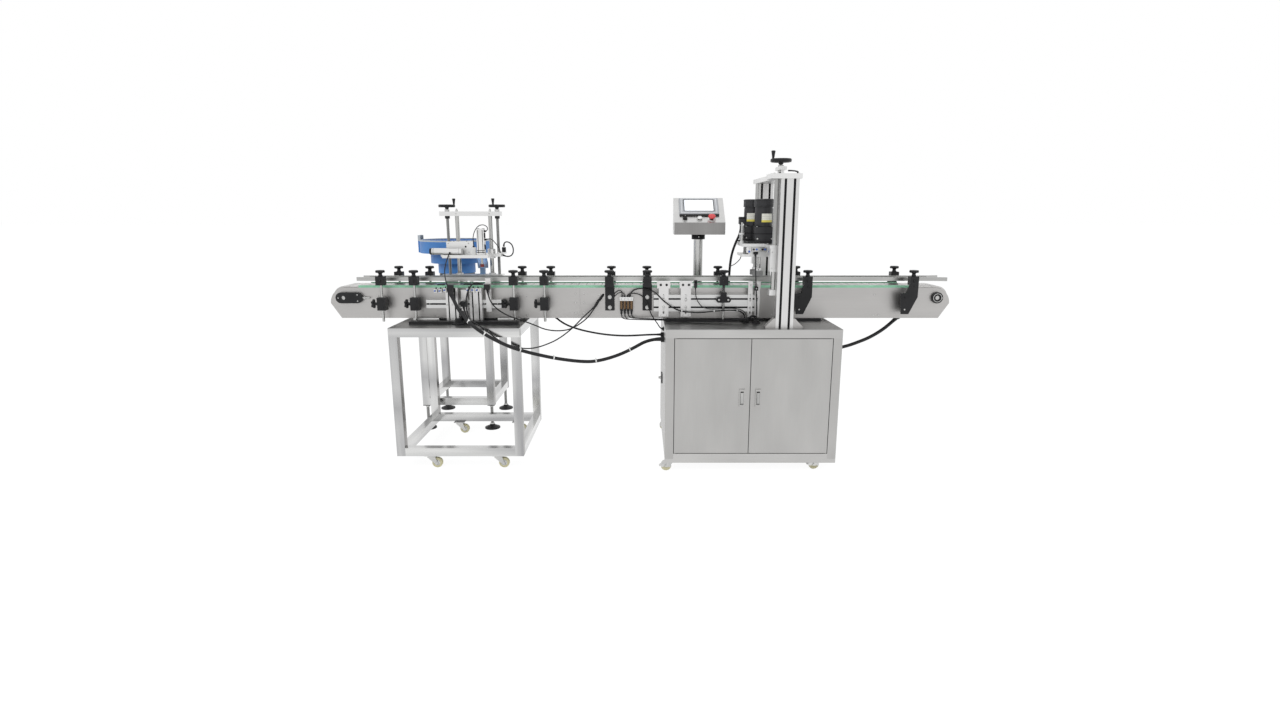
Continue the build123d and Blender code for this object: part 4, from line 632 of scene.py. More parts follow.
@dataclass
class Shell:
    """Closed surfaces gathered into one piece, in millimetres in the row frame or in a basis on it."""

    name: str
    basis: np.ndarray = field(default_factory=lambda: np.eye(4))
    points: list[np.ndarray] = field(default_factory=list)
    faces: list[np.ndarray] = field(default_factory=list)
    finishes: list[str] = field(default_factory=list)
    marks: list[np.ndarray] = field(default_factory=list)
    count: int = 0

    def add(self, points: np.ndarray, faces: np.ndarray, finish: str) -> None:
        """Adds one surface and the finish of its faces.

        Args:
            points: Its points, in the basis.
            faces: Its quads, by the numbers of their points.
            finish: The finish of its faces.
        """
        if finish not in self.finishes:
            self.finishes.append(finish)
        flat = points.reshape(-1, 3) @ self.basis[:3, :3].T + self.basis[:3, 3]
        self.points.append(flat)
        self.faces.append(faces + self.count)
        self.marks.append(np.full(len(faces), self.finishes.index(finish)))
        self.count += len(flat)

    def loft(self, rings: np.ndarray, finish: str) -> None:
        """Adds rings of points joined in order, each end closed on its own middle.

        Args:
            rings: Rings with equally many points.
            finish: The finish of the surface.
        """
        ends = np.broadcast_to(rings.mean(axis=1, keepdims=True), rings.shape)
        full = np.concatenate([ends[:1], rings, ends[-1:]])
        self.add(full, grid_faces(len(full), rings.shape[1], False, True), finish)

    def turned(
        self,
        profile: Profile,
        origin: Point,
        axis: Axis,
        finish: str,
        parts: int = 24,
        side: float = 1.0,
        ripple: Ripple | None = None,
        ring: bool = False,
    ) -> None:
        """Adds a surface of revolution.

        Each point is the origin, plus the profile's height along the axis, plus its radius times the
        cosine and the sine of the turn on the two other axes. A ripple scales the radius by the turn.

        Args:
            profile: (radius, height) pairs, from the low end to the high end.
            origin: The foot of the axis.
            axis: The axis of the turn.
            finish: The finish of the surface.
            parts: The number of steps round.
            side: -1 where the heights run against the axis.
            ripple: A scale of the radius as a function of the turn.
            ring: Whether the profile is a closed loop that the axis doesn't cross.
        """
        radius, height = np.array(profile, float).T
        turn = np.linspace(0, 2 * math.pi, parts, endpoint=False)
        scale = np.ones(parts) if ripple is None else ripple(turn)
        points = np.zeros((len(radius), parts, 3))
        first, second = [(1, 2), (2, 0), (0, 1)][axis.value]
        points[..., axis.value] = side * height[:, None]
        points[..., first] = radius[:, None] * scale * np.cos(turn)
        points[..., second] = radius[:, None] * scale * np.sin(turn)
        points += np.array(origin, float)
        if ring:
            self.add(points, grid_faces(len(radius), parts, True, True), finish)
        else:
            self.loft(points, finish)

    def rod(
        self, origin: Point, axis: Axis, length: float, radius: float, finish: str, parts: int = 20
    ) -> None:
        """Adds a round bar with eased ends.

        Args:
            origin: The middle of its first end.
            axis: Its axis.
            length: Its length, below 0 where it runs against the axis.
            radius: Its radius.
            finish: Its finish.
            parts: The number of steps round.
        """
        ease = min(radius * 0.12, 0.8)
        profile = barrel(radius, abs(length), ease, ease)
        self.turned(profile, origin, axis, finish, parts, math.copysign(1.0, length))

    def collar(
        self, origin: Point, axis: Axis, inner: float, outer: float, height: float, finish: str,
        side: float = 1.0,
    ) -> None:
        """Adds a flat ring with an eased outer edge.

        Args:
            origin: The middle of its foot.
            axis: Its axis.
            inner: The radius of its hole.
            outer: Its outer radius.
            height: Its height along the axis.
            finish: Its finish.
            side: -1 where it rises against the axis.
        """
        ease = min(0.6, height * 0.3)
        profile = [(inner, 0), (outer, 0), (outer, height - ease), (outer - ease, height), (inner, height)]
        self.turned(profile, origin, axis, finish, 32, side, ring=True)

    def slab(self, low: Point, high: Point, finish: str, soft: float = 0.8) -> None:
        """Adds a block with eased edges.

        The rings are rounded rectangles at rising heights; near each end they draw in by the easing,
        along a quarter circle.

        Args:
            low: Its lowest corner.
            high: Its highest corner.
            finish: Its finish.
            soft: The radius of its edges.
        """
        half = (np.array(high, float) - np.array(low, float)) / 2
        middle = (np.array(high, float) + np.array(low, float)) / 2
        soft = min(soft, *(half * 0.9))
        turns = np.radians([0.0, 45.0, 90.0])
        inset = soft * (1 - np.sin(turns))
        rise = half[2] - soft * (1 - (1 - np.cos(turns)))
        rings = []
        for shrink, height in [*zip(inset, -rise), *zip(inset[::-1], rise[::-1])]:
            flat = rounded_rectangle(half[0] - shrink, half[1] - shrink, max(soft - shrink, 0.05))
            rings.append(np.column_stack((flat, np.full(len(flat), height))))
        self.loft(np.array(rings) + middle, finish)

    def border(self, low: Point, high: Point, width: float, finish: str) -> None:
        """Adds a flat rectangular frame.

        Args:
            low: Its lowest corner.
            high: Its highest corner.
            width: How wide its four bars are.
            finish: Its finish.
        """
        (x0, y0, z0), (x1, y1, z1) = low, high
        rings = []
        for inset, z in ((0.0, z0), (0.0, z1), (width, z1), (width, z0)):
            a, b, c, d = x0 + inset, x1 - inset, y0 + inset, y1 - inset
            rings.append([(a, c, z), (b, c, z), (b, d, z), (a, d, z)])
        self.add(np.array(rings), grid_faces(4, 4, True, True), finish)

    def tube(self, path: np.ndarray, radius: float | np.ndarray, finish: str, parts: int = 12) -> None:
        """Adds a tube: at each point of the path a circle square to the path's direction.

        Args:
            path: Points in millimetres.
            radius: One radius, or one for each point.
            finish: The finish of the tube.
            parts: The number of steps round.
        """
        along = np.gradient(path, axis=0)
        along /= np.linalg.norm(along, axis=1)[:, None]
        first = np.cross(along, np.array([0.31, 0.17, 0.94]))
        first /= np.linalg.norm(first, axis=1)[:, None]
        second = np.cross(along, first)
        turn = np.linspace(0, 2 * math.pi, parts, endpoint=False)[None, :, None]
        ring = first[:, None] * np.cos(turn) + second[:, None] * np.sin(turn)
        wide = np.broadcast_to(np.asarray(radius, float), (len(path),))[:, None, None]
        self.loft(path[:, None] + wide * ring, finish)

    def helix(
        self, origin: Point, radii: Span, rise: Span, turns: Span, thick: float, finish: str, steps: int = 48
    ) -> None:
        """Adds a ramp round an upright axis: a flat section that climbs evenly with the turn.

        Args:
            origin: A point of the axis.
            radii: The inner and the outer radius.
            rise: The height of the underside at the start and at the end.
            turns: The turn at the start and at the end, in degrees.
            thick: The height of the section.
            finish: The finish of the ramp.
            steps: The number of sections.
        """
        turn = np.radians(np.linspace(*turns, steps))[:, None]
        reach = np.array([radii[0], radii[1], radii[1], radii[0]])[None, :]
        lift = np.linspace(*rise, steps)[:, None] + np.array([0, 0, thick, thick])[None, :]
        rings = np.stack((reach * np.cos(turn), reach * np.sin(turn), lift), axis=-1)
        self.loft(rings + np.array(origin, float), finish)

    def screws(
        self, places: Sequence[Point], axis: Axis, side: float = 1.0, radius: float = 4.6,
        finish: str = "screw_steel",
    ) -> None:
        """Adds button-head screws, each a dome with a round well in its middle.

        Args:
            places: The middle of each head's foot.
            axis: The axis of the screws.
            side: -1 where the heads rise against the axis.
            radius: The radius of the heads.
            finish: Their finish.
        """
        r, h = radius, radius * 0.56
        head = [(r, 0), (r, h * 0.35), (r * 0.9, h * 0.7), (r * 0.66, h), (r * 0.46, h), (r * 0.44, h * 0.4)]
        for place in places:
            self.turned(head, place, axis, finish, 12, side)

    def build(self, paint: Paint) -> bpy.types.Object:
        """Makes the piece, with doubles merged and the faces turned outwards.

        Args:
            paint: The finishes.

        Returns:
            The piece's object.
        """
        mesh = bpy.data.meshes.new(self.name)
        mesh.from_pydata((np.concatenate(self.points) * MM).tolist(), [], np.concatenate(self.faces).tolist())
        mesh.polygons.foreach_set("material_index", np.concatenate(self.marks).astype(np.int32))
        for finish in self.finishes:
            mesh.materials.append(paint[finish])
        work = bmesh.new()
        work.from_mesh(mesh)
        bmesh.ops.remove_doubles(work, verts=work.verts, dist=MERGE)
        bmesh.ops.recalc_face_normals(work, faces=work.faces)
        work.to_mesh(mesh)
        work.free()
        mesh.shade_smooth()
        mesh.set_sharp_from_angle(angle=SHARP)
        return placed(self.name, mesh)


def zone(
    x0: float = -EVERY, x1: float = EVERY, y0: float = -EVERY, y1: float = EVERY,
    z0: float = -EVERY, z1: float = EVERY,
) -> Box:
    """A box in millimetres, open on the sides that aren't given."""
    return (x0, y0, z0), (x1, y1, z1)


def rail_caps(name: str, x_ends: Span, y_fronts: Span, low: float, high: float) -> Shell:
    """Plates that close the ends of two square rails along X.

    Args:
        name: The piece's name.
        x_ends: The left and right ends of the rails.
        y_fronts: The front face of each rail.
        low: The rails' underside.
        high: The rails' top.

    Returns:
        The four plates, each set inside the rail's walls.
    """
    shell = Shell(name)
    wall, thick, tube = 2, 1.8, 40
    for y in y_fronts:
        for x in (x_ends[0], x_ends[1] - thick):
            low_corner = (x, y + wall, low + wall)
            shell.slab(low_corner, (x + thick, y + tube - wall, high - wall), "steel_upright", 0.3)
    return shell


@dataclass(frozen=True)
class TubeFrame:
    """A welded frame of polished square tube.

    Its foot tubes lie below low, and its top tubes end at high, under the sheet.
    """

    node: str
    left: float
    right: float
    front: float
    back: float
    low: float
    high: float
    top_sides: bool
    tube: float = 40.0

    def dress(self, shop: Workshop, *extra: tuple[str, Box]) -> None:
        """Polishes each tube along its own direction, with painted shade on the right face of the uprights: a
        darker copy of the polished finish.

        Args:
            shop: Where the finishes are.
            extra: Further finishes with their boxes, which come last.
        """
        edge = 0.1
        under, over = self.high - self.tube - edge, self.high - edge
        tubes = [("polished_x", zone(z1=self.low)), ("polished_x", zone(z0=under, z1=over))]
        tubes.append(("steel_top", zone(z0=self.high - edge / 2)))
        levels = [(-EVERY, self.low)]
        if self.top_sides:
            levels.append((under, over))
        for x in (self.left, self.right - self.tube):
            inner = x + self.tube
            for z0, z1 in levels:
                y0, y1 = self.front + self.tube + 0.5, self.back - 0.5
                tubes.append(("polished_y", zone(x - 1, inner + 1, y0, y1, z0, z1)))
            # Painted shade: the right face of each upright takes the darker copy.
            tubes.append(("polished_painted_shade_side", zone(inner - edge, inner + edge, z0=self.low, z1=under)))
        shop.coat(self.node, "polished_z", *tubes, *extra)

    def caps(self, shop: Workshop, name: str) -> None:
        """The plates that close the front and the rear top rail.

        Args:
            shop: Where the finishes are and the pieces go.
            name: The piece's name.
        """
        ends, fronts = (self.left, self.right), (self.front, self.back)
        caps = rail_caps(name, ends, fronts, self.high - self.tube, self.high)
        shop.piece(caps, "machine", "polished_steel")


class Workshop:
    """Gives the CAD nodes their finishes and puts new pieces on their bodies."""

    def __init__(self, frame: dict) -> None:
        """Keeps the frame's nodes and builds the finishes."""
        self.nodes = frame["nodes"]
        self.paint = Paint()

    def coat(self, node: str, main: str, *parts: tuple[str, Box]) -> None:
        """Sets a node's finishes: a face takes the last box that its middle lies in.

        Args:
            node: The CAD node.
            main: Its main finish.
            parts: Other finishes, each with its box in millimetres.
        """
        mesh = self.nodes[node].data
        mesh.materials.clear()
        mesh.materials.append(self.paint[main])
        if parts:
            middle = np.zeros(len(mesh.polygons) * 3, np.float32)
            mesh.polygons.foreach_get("center", middle)
            middle = middle.reshape(-1, 3) / MM
            marks = np.zeros(len(mesh.polygons), np.int32)
            for index, (finish, (low, high)) in enumerate(parts, 1):
                mesh.materials.append(self.paint[finish])
                inside = np.all((middle >= np.array(low)) & (middle <= np.array(high)), axis=1)
                marks[inside] = index
            mesh.polygons.foreach_set("material_index", marks)
        log.info("node %s: %s", node, main)

    def coats(self, **finishes: str) -> None:
        """Sets the finish of each node that has only one."""
        for node, finish in finishes.items():
            self.coat(node, finish)

    def piece(self, shell: Shell, body: str, slot: str, *replaced: str) -> bpy.types.Object:
        """Builds a shell as a piece of the model.

        Args:
            shell: The surfaces of the piece.
            body: The moving body that it rides on.
            slot: Not used.
            replaced: The CAD nodes that it stands for, which are hidden.

        Returns:
            The piece.
        """
        made = shell.build(self.paint)
        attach(made, body)
        if replaced:
            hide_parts(*replaced)
        log.info("piece %s: %d faces", shell.name, len(made.data.polygons))
        return made


# Cables


SLEEVE_STEPS = (1.6, 1.6, 1.3, 1.0, 0.7, 0.45, 0.3)


@dataclass(frozen=True)
class Lead:
    """A cable along its control points, in millimetres, with the sleeves and ties on it."""

    name: str
    points: tuple[Point, ...]
    diameter: float
    length: float = 0.0
    body: str = "machine"
    replaced: str = ""
    stiffness: str = "medium"
    sleeves: tuple[bool, bool] = (True, True)
    ties: tuple[float, ...] = ()
    far_end: str = "object"

    def curve(self, bevel: float) -> bpy.types.Object:
        """A NURBS spline of order 3 whose control points are the route's own points.

        Args:
            bevel: The radius of the drawn cable, in millimetres.

        Returns:
            The curve's object, not in the scene.
        """
        curve = bpy.data.curves.new(self.name, "CURVE")
        curve.dimensions = "3D"
        curve.bevel_depth = bevel * MM
        curve.bevel_resolution = 4
        curve.use_fill_caps = True
        curve.resolution_u = 10
        spline = curve.splines.new("NURBS")
        spline.points.add(len(self.points) - 1)
        flat = np.ones((len(self.points), 4), np.float32)
        flat[:, :3] = np.array(self.points) * MM
        spline.points.foreach_set("co", flat.ravel())
        spline.order_u = 3
        spline.use_endpoint_u = True
        return bpy.data.objects.new(self.name, curve)

    def line(self) -> np.ndarray:
        """The drawn line in millimetres, read from the spline without a bevel.

        Returns:
            The points along it.
        """
        bare = self.curve(0.0)
        mesh = bpy.data.meshes.new_from_object(bare)
        flat = np.zeros(len(mesh.vertices) * 3, np.float32)
        mesh.vertices.foreach_get("co", flat)
        curve = bare.data
        bpy.data.meshes.remove(mesh)
        bpy.data.objects.remove(bare)
        bpy.data.curves.remove(curve)
        return flat.reshape(-1, 3).astype(float) / MM

    def trimmings(self, shop: Workshop, line: np.ndarray, way: np.ndarray) -> list[bpy.types.Object]:
        """The tapered sleeves at the ends, and the ties with their heads, as one piece each kind.

        Args:
            shop: Where the finishes are and the pieces go.
            line: The drawn line.
            way: The length along it up to each of its points.

        Returns:
            The pieces made.
        """

        def stretch(start: float, end: float, steps: int) -> np.ndarray:
            """Points of the line between two lengths along it."""
            places = np.linspace(start, end, steps)
            return np.column_stack([np.interp(places, way, line[:, axis]) for axis in range(3)])

        radius = self.diameter / 2
        made = []
        reach = 1.2 * self.diameter + 8.0
        taper = radius + np.array(SLEEVE_STEPS)
        sleeves = Shell(self.name + "_sleeves")
        ends = ((0.0, reach), (way[-1], way[-1] - reach))
        for end in (end for wanted, end in zip(self.sleeves, ends) if wanted):
            sleeves.tube(stretch(*end, len(taper)), taper, "moulded_black")
        if self.far_end == "connector":
            plug = [(radius + 1.0, -6.0), (radius + 3.8, 0.0), (radius + 3.8, 24.0), (radius + 2.6, 26.0)]
            sleeves.turned(plug, tuple(line[-1]), Z, "moulded_black", 20, -1.0)
        if sleeves.count:
            made.append(shop.piece(sleeves, self.body, "black_plastic"))
        if self.ties:
            ties = Shell(self.name + "_ties")
            for x in self.ties:
                at = way[np.abs(line[:, 0] - x).argmin()]
                band = stretch(at - 2.6, at + 2.6, 4)
                ties.tube(band, radius + 0.9, "white_plastic", 16)
                top = band.mean(axis=0) + np.array([0.0, 0.0, radius + 2.0])
                ties.slab(tuple(top - [3.2, 3.2, 2.2]), tuple(top + [3.2, 3.2, 2.2]), "white_plastic")
                ties.slab(tuple(top - [0.5, 1.6, 0.0]), tuple(top + [0.5, 1.6, 9.0]), "white_plastic", 0.4)
            made.append(shop.piece(ties, self.body, "cream_plastic"))
        return made

    def build(self, shop: Workshop) -> None:
        """The cable and its trimmings.

        Args:
            shop: Where the finishes are and the pieces go.
        """
        line = self.line()
        way = np.concatenate([[0.0], np.cumsum(np.linalg.norm(np.diff(line, axis=0), axis=1))])
        made = self.curve(self.diameter / 2)
        made.data.materials.append(shop.paint["cable_black"])
        bpy.context.scene.collection.objects.link(made)
        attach(made, self.body)
        if self.replaced:
            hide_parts(self.replaced)
        tuple(value * MM for value in self.points[0])
        self.diameter * MM
        self.trimmings(shop, line, way)


FEEDER_HARNESS = (
    (-882, -392, 812), (-860.882, -417.14, 774.29), (-823, -469, 739), (-764, -531, 697),
    (-699, -564, 659), (-607, -561, 609), (-540, -548, 582), (-453, -523, 554), (-375, -500, 533),
    (-276, -472, 514), (-206, -450, 510), (-118, -420, 528), (-44, -394, 556), (44, -367, 602),
    (100, -367, 602),
)
PLACER_CABLE = (
    (-834, -372, 748), (-822.667, -394.667, 725.333), (-797, -438, 707), (-756, -496, 700),
    (-710, -534, 683), (-645, -551, 633), (-596, -549, 607), (-532, -528, 586), (-477, -497, 584),
    (-409, -453, 603), (-366, -424, 625), (-316, -390, 662), (-275, -365, 704),
    (-218.965, -329.516, 751.381), (-196, -304, 782),
)
SENSOR_CABLE = (
    (-722, -356, 826), (-715.399, -365.902, 796.295), (-686, -383, 756), (-629, -396, 721),
    (-571, -398, 702), (-497, -394, 674), (-449, -390, 651), (-381, -383, 643), (-322, -373, 653),
    (-259, -346, 693), (-229.492, -320.865, 728.388), (-216, -304, 752),
)
LINE_CABLE = (
    (-424, -212, 688), (-399.466, -220.86, 666.192), (-347, -242, 642), (-270, -264, 623),
    (-173, -288, 610), (-90, -305, 607), (-27, -315, 610), (54, -326, 617), (100, -326, 617),
)
MOTOR_CONDUIT = (
    (1284, -203, 682), (1252.26, -204.763, 651.581), (1210, -208, 617), (1150, -214, 582),
    (1092, -218, 559), (1040, -222, 541), (972, -225, 526), (930, -225, 526),
)
HEAD_HOSE = (
    (500, -145, 1140), (500, -145, 1100), (477, -126, 1047), (460, -95, 977), (455, -83, 882),
    (455, -83, 791), (456, -84, 729), (457, -85, 650), (457, -85, 590),
)
TIE_PLACES = (-777.0, -699.0, -541.0, -400.0, -209.0, -47.0)


@dataclass
class Cables:
    """The machine's cables, its air tubes and the glands that they go into."""

    gland: Span = (553.0, -372.0)
    second_gland: Span = (505.0, -342.0)
    hose: Span = (457.0, -85.0)
    line_fitting: Point = (115.0, -344.0, 648.0)
    tube: float = 4.6
    layer: float = 4.8
    ring: float = 6.1

    def main_leads(self) -> list[Lead]:
        """The cables that the CAD model has.

        Returns:
            The leads, not built yet.
        """
        return [
            Lead(
                "harness_lead", FEEDER_HARNESS, 16.0, 1165.6, replaced="feeder_harness", stiffness="stiff",
                ties=TIE_PLACES,
            ),
            Lead("placer_lead", PLACER_CABLE, 6.0, 889.4, replaced="placer_cable"),
            Lead("sensor_lead", SENSOR_CABLE, 6.0, 635.1, replaced="sensor_cable"),
            Lead("line_lead", LINE_CABLE, 9.0, 554.2, replaced="line_cable"),
            Lead("conduit_lead", MOTOR_CONDUIT, 17.0, 397.1, replaced="motor_conduit", stiffness="stiff"),
            Lead(
                "hose_lead", HEAD_HOSE, 12.0, 564.5, body="head", replaced="head_hose", stiffness="stiff",
                sleeves=(True, False),
            ),
        ]

    def air_tubes(self) -> list[Lead]:
        """Four thin tubes in two layers from the air block's barrels along the cabinet's front edge.

        Returns:
            The leads, not built yet.
        """
        made = []
        for step, (x, turn) in enumerate(zip(BARRELS_X, (135.0, 225.0, 180.0, 270.0))):
            out = -self.layer * (step % 2)
            up = self.layer * (step // 2)
            gx = self.gland[0] + self.ring * math.cos(math.radians(turn))
            gy = self.gland[1] + self.ring * math.sin(math.radians(turn))
            points = (
                (x, -304, 714), (x, -305, 702 + up), (x + 9, -308 + out, 693 + up),
                (x + 24, -312 + out, 690 + up), (x + 60, -318 + out, 689.5 + up),
                (96, -332 + out, 689.5 + up), (287, -350 + out, 686 + up), (410, -364 + out, 687 + up),
                (453, -368 + out, 691 + up), (gx - 54, gy - out / 3, 696 + up), (gx - 36, gy, 701 + up),
                (gx - 22.6, gy, 708 + up), (gx - 16.6, gy, 711.5 + up), (gx - 9.6, gy, 711.5 + up),
                (gx - 3.5, gy, 708 + up), (gx, gy, 702 + up), (gx, gy, 695 + up), (gx, gy, 684),
            )
            name = f"air_tube_{step + 1}"
            made.append(Lead(name, points, self.tube, stiffness="limp", sleeves=(False, False)))
        return made

    def small_leads(self) -> list[Lead]:
        """The other thin leads that the photograph shows.

        Returns:
            The leads, not built yet.
        """
        gx, gy = self.gland
        sx, sy = self.second_gland
        bare = (False, False)
        first = (
            (-128, -292, 806), (-118, -299, 818), (-103, -305, 829), (-90, -305, 826), (-86, -304, 812),
            (-86, -304, 797),
        )
        second = (
            (-128, -292, 794), (-116, -299, 806), (-100, -305, 818), (-82, -305, 818), (-74, -304, 808),
            (-74, -304, 797),
        )
        run = (
            (-49, -304, 797), (-49, -304, 812), (-30, -304, 832), (8, -304, 840), (42, -306, 834),
            (66, -318, 824), (84, -337, 812), (110, -344, 784), (153, -347, 752), (199, -349, 731),
            (287, -351, 727), (353, -354, 735), (420, -356, 740), (462, -353, 738), (484, -347, 731),
            (496, -343, 721), (sx - 3, sy, 708), (sx - 3, sy, 692),
        )
        side = (
            (-60, -304, 797), (-60, -304, 808), (-38, -304, 816), (0, -304, 810), (28, -307, 784),
            (42, -314, 750), (52, -323, 718), (68, -334, 694), (86, -342, 670), (98, -344, 650),
            (109, -344, 648),
        )
        eye = (
            (264, -343, 846), (264, -345, 825), (267, -351, 798), (281, -356, 770), (302, -360, 751),
            (338, -363, 746), (400, -365, 750), (450, -363, 750), (484, -357, 742), (502, -350, 728),
            (sx + 4, sy - 3, 710), (sx + 4, sy - 3, 692),
        )
        lift = (
            (551, -304, 1000), (551, -306, 975), (550, -320, 928), (549, -346, 884), (550, -363, 824),
            (gx, gy, 765), (gx, gy, 712), (gx, gy, 650), (gx, gy, 600),
        )
        reed = ((496, -205, 988), (494, -203, 974), (481, -183, 955), (468, -140, 937), (457, -97, 928))
        loop = (
            (-750, -205, 1106), (-742, -206, 1110), (-741, -208, 1127), (-760, -211, 1138),
            (-784, -213, 1133), (-804, -212, 1108), (-815, -207, 1075), (-817, -192, 1052),
            (-817, -190, 1034),
        )
        drop = (
            (-750, -204, 1066), (-738, -203, 1070), (-724, -196, 1067), (-715, -172, 1050),
            (-706, -147, 1031), (-701, -128, 1014), (-701, -122, 1001),
        )
        bow = (
            (-683, -116, 1030), (-683, -116, 1040), (-676, -118, 1050), (-662, -121, 1052),
            (-646, -124, 1044), (-637, -125, 1030), (-634, -125, 1012), (-637, -124, 994),
            (-648, -121, 982), (-664, -118, 978), (-680, -114, 981), (-690, -111, 985),
        )
        gate = (
            (-925, -230, 1004), (-927, -246, 992), (-931, -262, 976), (-935, -290, 944),
            (-932, -318, 914), (-924, -338, 886), (-915, -349, 863), (-909, -353, 846),
            (-908, -353.2, 830), (-908, -353.2, 810), (-908, -353.2, 785), (-908, -353.2, 760),
        )
        hook = (
            (-752, -350, 863), (-765, -362, 872), (-782, -372, 871), (-799, -380, 855), (-810, -388, 828),
            (-815, -396, 800), (-814, -410, 774), (-806, -434, 752), (-794, -462, 735), (-782, -489, 720),
            (-772, -511, 709), (-766, -522, 703),
        )
        carried = "feeder_carriage"
        return [
            Lead("valve_tube_1", first, 4.0, stiffness="limp", sleeves=bare),
            Lead("valve_tube_2", second, 4.0, stiffness="limp", sleeves=bare),
            Lead("run_lead", run, 6.0, stiffness="limp", ties=(199.0, 353.0, 462.0)),
            Lead("side_lead", side, 5.0, stiffness="limp"),
            Lead("eye_lead", eye, 4.0, stiffness="limp", sleeves=(True, False)),
            Lead("lift_lead", lift, 6.0, body="head", sleeves=(True, False), far_end="connector"),
            Lead("reed_lead", reed, 4.0, body="head", stiffness="limp", sleeves=bare),
            Lead("placer_loop", loop, 4.0, body=carried, stiffness="limp", sleeves=bare),
            Lead("placer_drop", drop, 4.0, body=carried, stiffness="limp", sleeves=bare),
            Lead("side_bow", bow, 6.0, body=carried, stiffness="limp"),
            Lead("gate_lead", gate, 5.0, body=carried, stiffness="limp", sleeves=(True, False)),
            Lead("hook_lead", hook, 7.0, stiffness="limp", sleeves=(True, False)),
        ]

    def glands(self, shop: Workshop) -> None:
        """The open gland on the sheet, the closed one beside it, the side inlet and a hose grommet.

        Args:
            shop: Where the finishes are and the pieces go.
        """
        shell = Shell("sheet_glands")
        gx, gy = self.gland
        shell.collar((gx, gy, TABLE_Z), Z, 8.4, 19.0, 5.0, "moulded_black")
        shell.collar((gx, gy, TABLE_Z + 4.6), Z, 8.4, 14.0, 10.0, "moulded_black")
        sx, sy = self.second_gland
        dome = [(19, 0), (19, 5), (14.5, 5.6), (14, 12), (11.5, 14.5), (11, 18), (9.6, 19.5)]
        shell.turned(dome, (sx, sy, TABLE_Z), Z, "moulded_black", 24)
        stub = [(11, 0), (11, 3), (8, 3.6), (7, 9)]
        shell.turned(stub, self.line_fitting, X, "moulded_black", 20, -1.0)
        shell.collar((*self.hose, TABLE_Z - 0.2), Z, 6.7, 15.0, 4.0, "moulded_black")
        shop.piece(shell, "machine", "black_plastic")
        clamp = Shell("lift_clamp")
        clamp.slab((541, -364, 834), (559, -346, 852), "moulded_black", 1.5)
        clamp.screws([(550, -364, 843)], Y, -1.0, 3.0)
        shop.piece(clamp, "head", "black_plastic")

    def build(self, shop: Workshop) -> None:
        """Every lead, then the glands.

        Args:
            shop: Where the finishes are and the pieces go.
        """
        for lead in (*self.main_leads(), *self.air_tubes(), *self.small_leads()):
            lead.build(shop)
        self.glands(shop)


# Sub-assemblies


@dataclass
class GearMotor:
    """A gearmotor: a square gearbox, a round body and a ribbed fan cover, along one axis."""

    gear: float
    body: float
    cover: float
    cover_radius: float
    frame: float = 90.0
    radius: float = 43.0
    bolt: float = 36.0

    def add(self, shell: Shell, foot: Point, axis: Axis) -> None:
        """Adds the motor's surfaces to a shell, from its foot along the axis.

        Args:
            shell: The shell.
            foot: The middle of the motor's foot.
            axis: The motor's axis.
        """
        half = self.frame / 2
        rim = np.array(foot, float)
        low, high = rim - half, rim + half
        low[axis.value] = foot[axis.value]
        high[axis.value] = foot[axis.value] + self.gear
        shell.slab(tuple(low), tuple(high), "motor_black", 4.5)
        others = [other for other in range(3) if other != axis.value]
        for a in (-self.bolt, self.bolt):
            for b in (-self.bolt, self.bolt):
                place = np.array(foot, float)
                place[others] += (a, b)
                place[axis.value] += self.gear - 0.2
                shell.screws([tuple(place)], axis, 1, 4, "zinc")
        rim[axis.value] += self.gear
        r, end = self.radius, self.body
        housing = [(r - 1, -0.5), (r, 1.2), (r, 9), (r - 1.2, 9.6), (r - 1.2, 11.4), (r, 12), (r, end - 7)]
        housing += [(r - 1.4, end - 6.2), (r - 1.4, end + 1)]
        shell.turned(housing, tuple(rim), axis, "motor_black", 40)
        rim[axis.value] += self.body
        c, h = self.cover_radius, self.cover
        skirt = [(c - 1.4, 0), (c, 1.2), (c, 5), (c - 1, 5.6)]
        shell.turned(skirt, tuple(rim), axis, "motor_black", 48)
        ribs = [(c - 2, 4.4), (c - 0.6, 6), (c - 0.6, h - 8), (c - 2, h - 7)]
        shell.turned(ribs, tuple(rim), axis, "motor_black", 96, ripple=lobed(24, 0.03))
        crown = [(c - 1.2, h - 8), (c, h - 7), (c, h - 3.4), (c - 2.4, h - 1), (c - 8, h), (c - 9, h - 1.2)]
        crown += [(c * 0.45, h - 1.2), (c * 0.42, h), (2, h)]
        shell.turned(crown, tuple(rim), axis, "motor_black", 48)


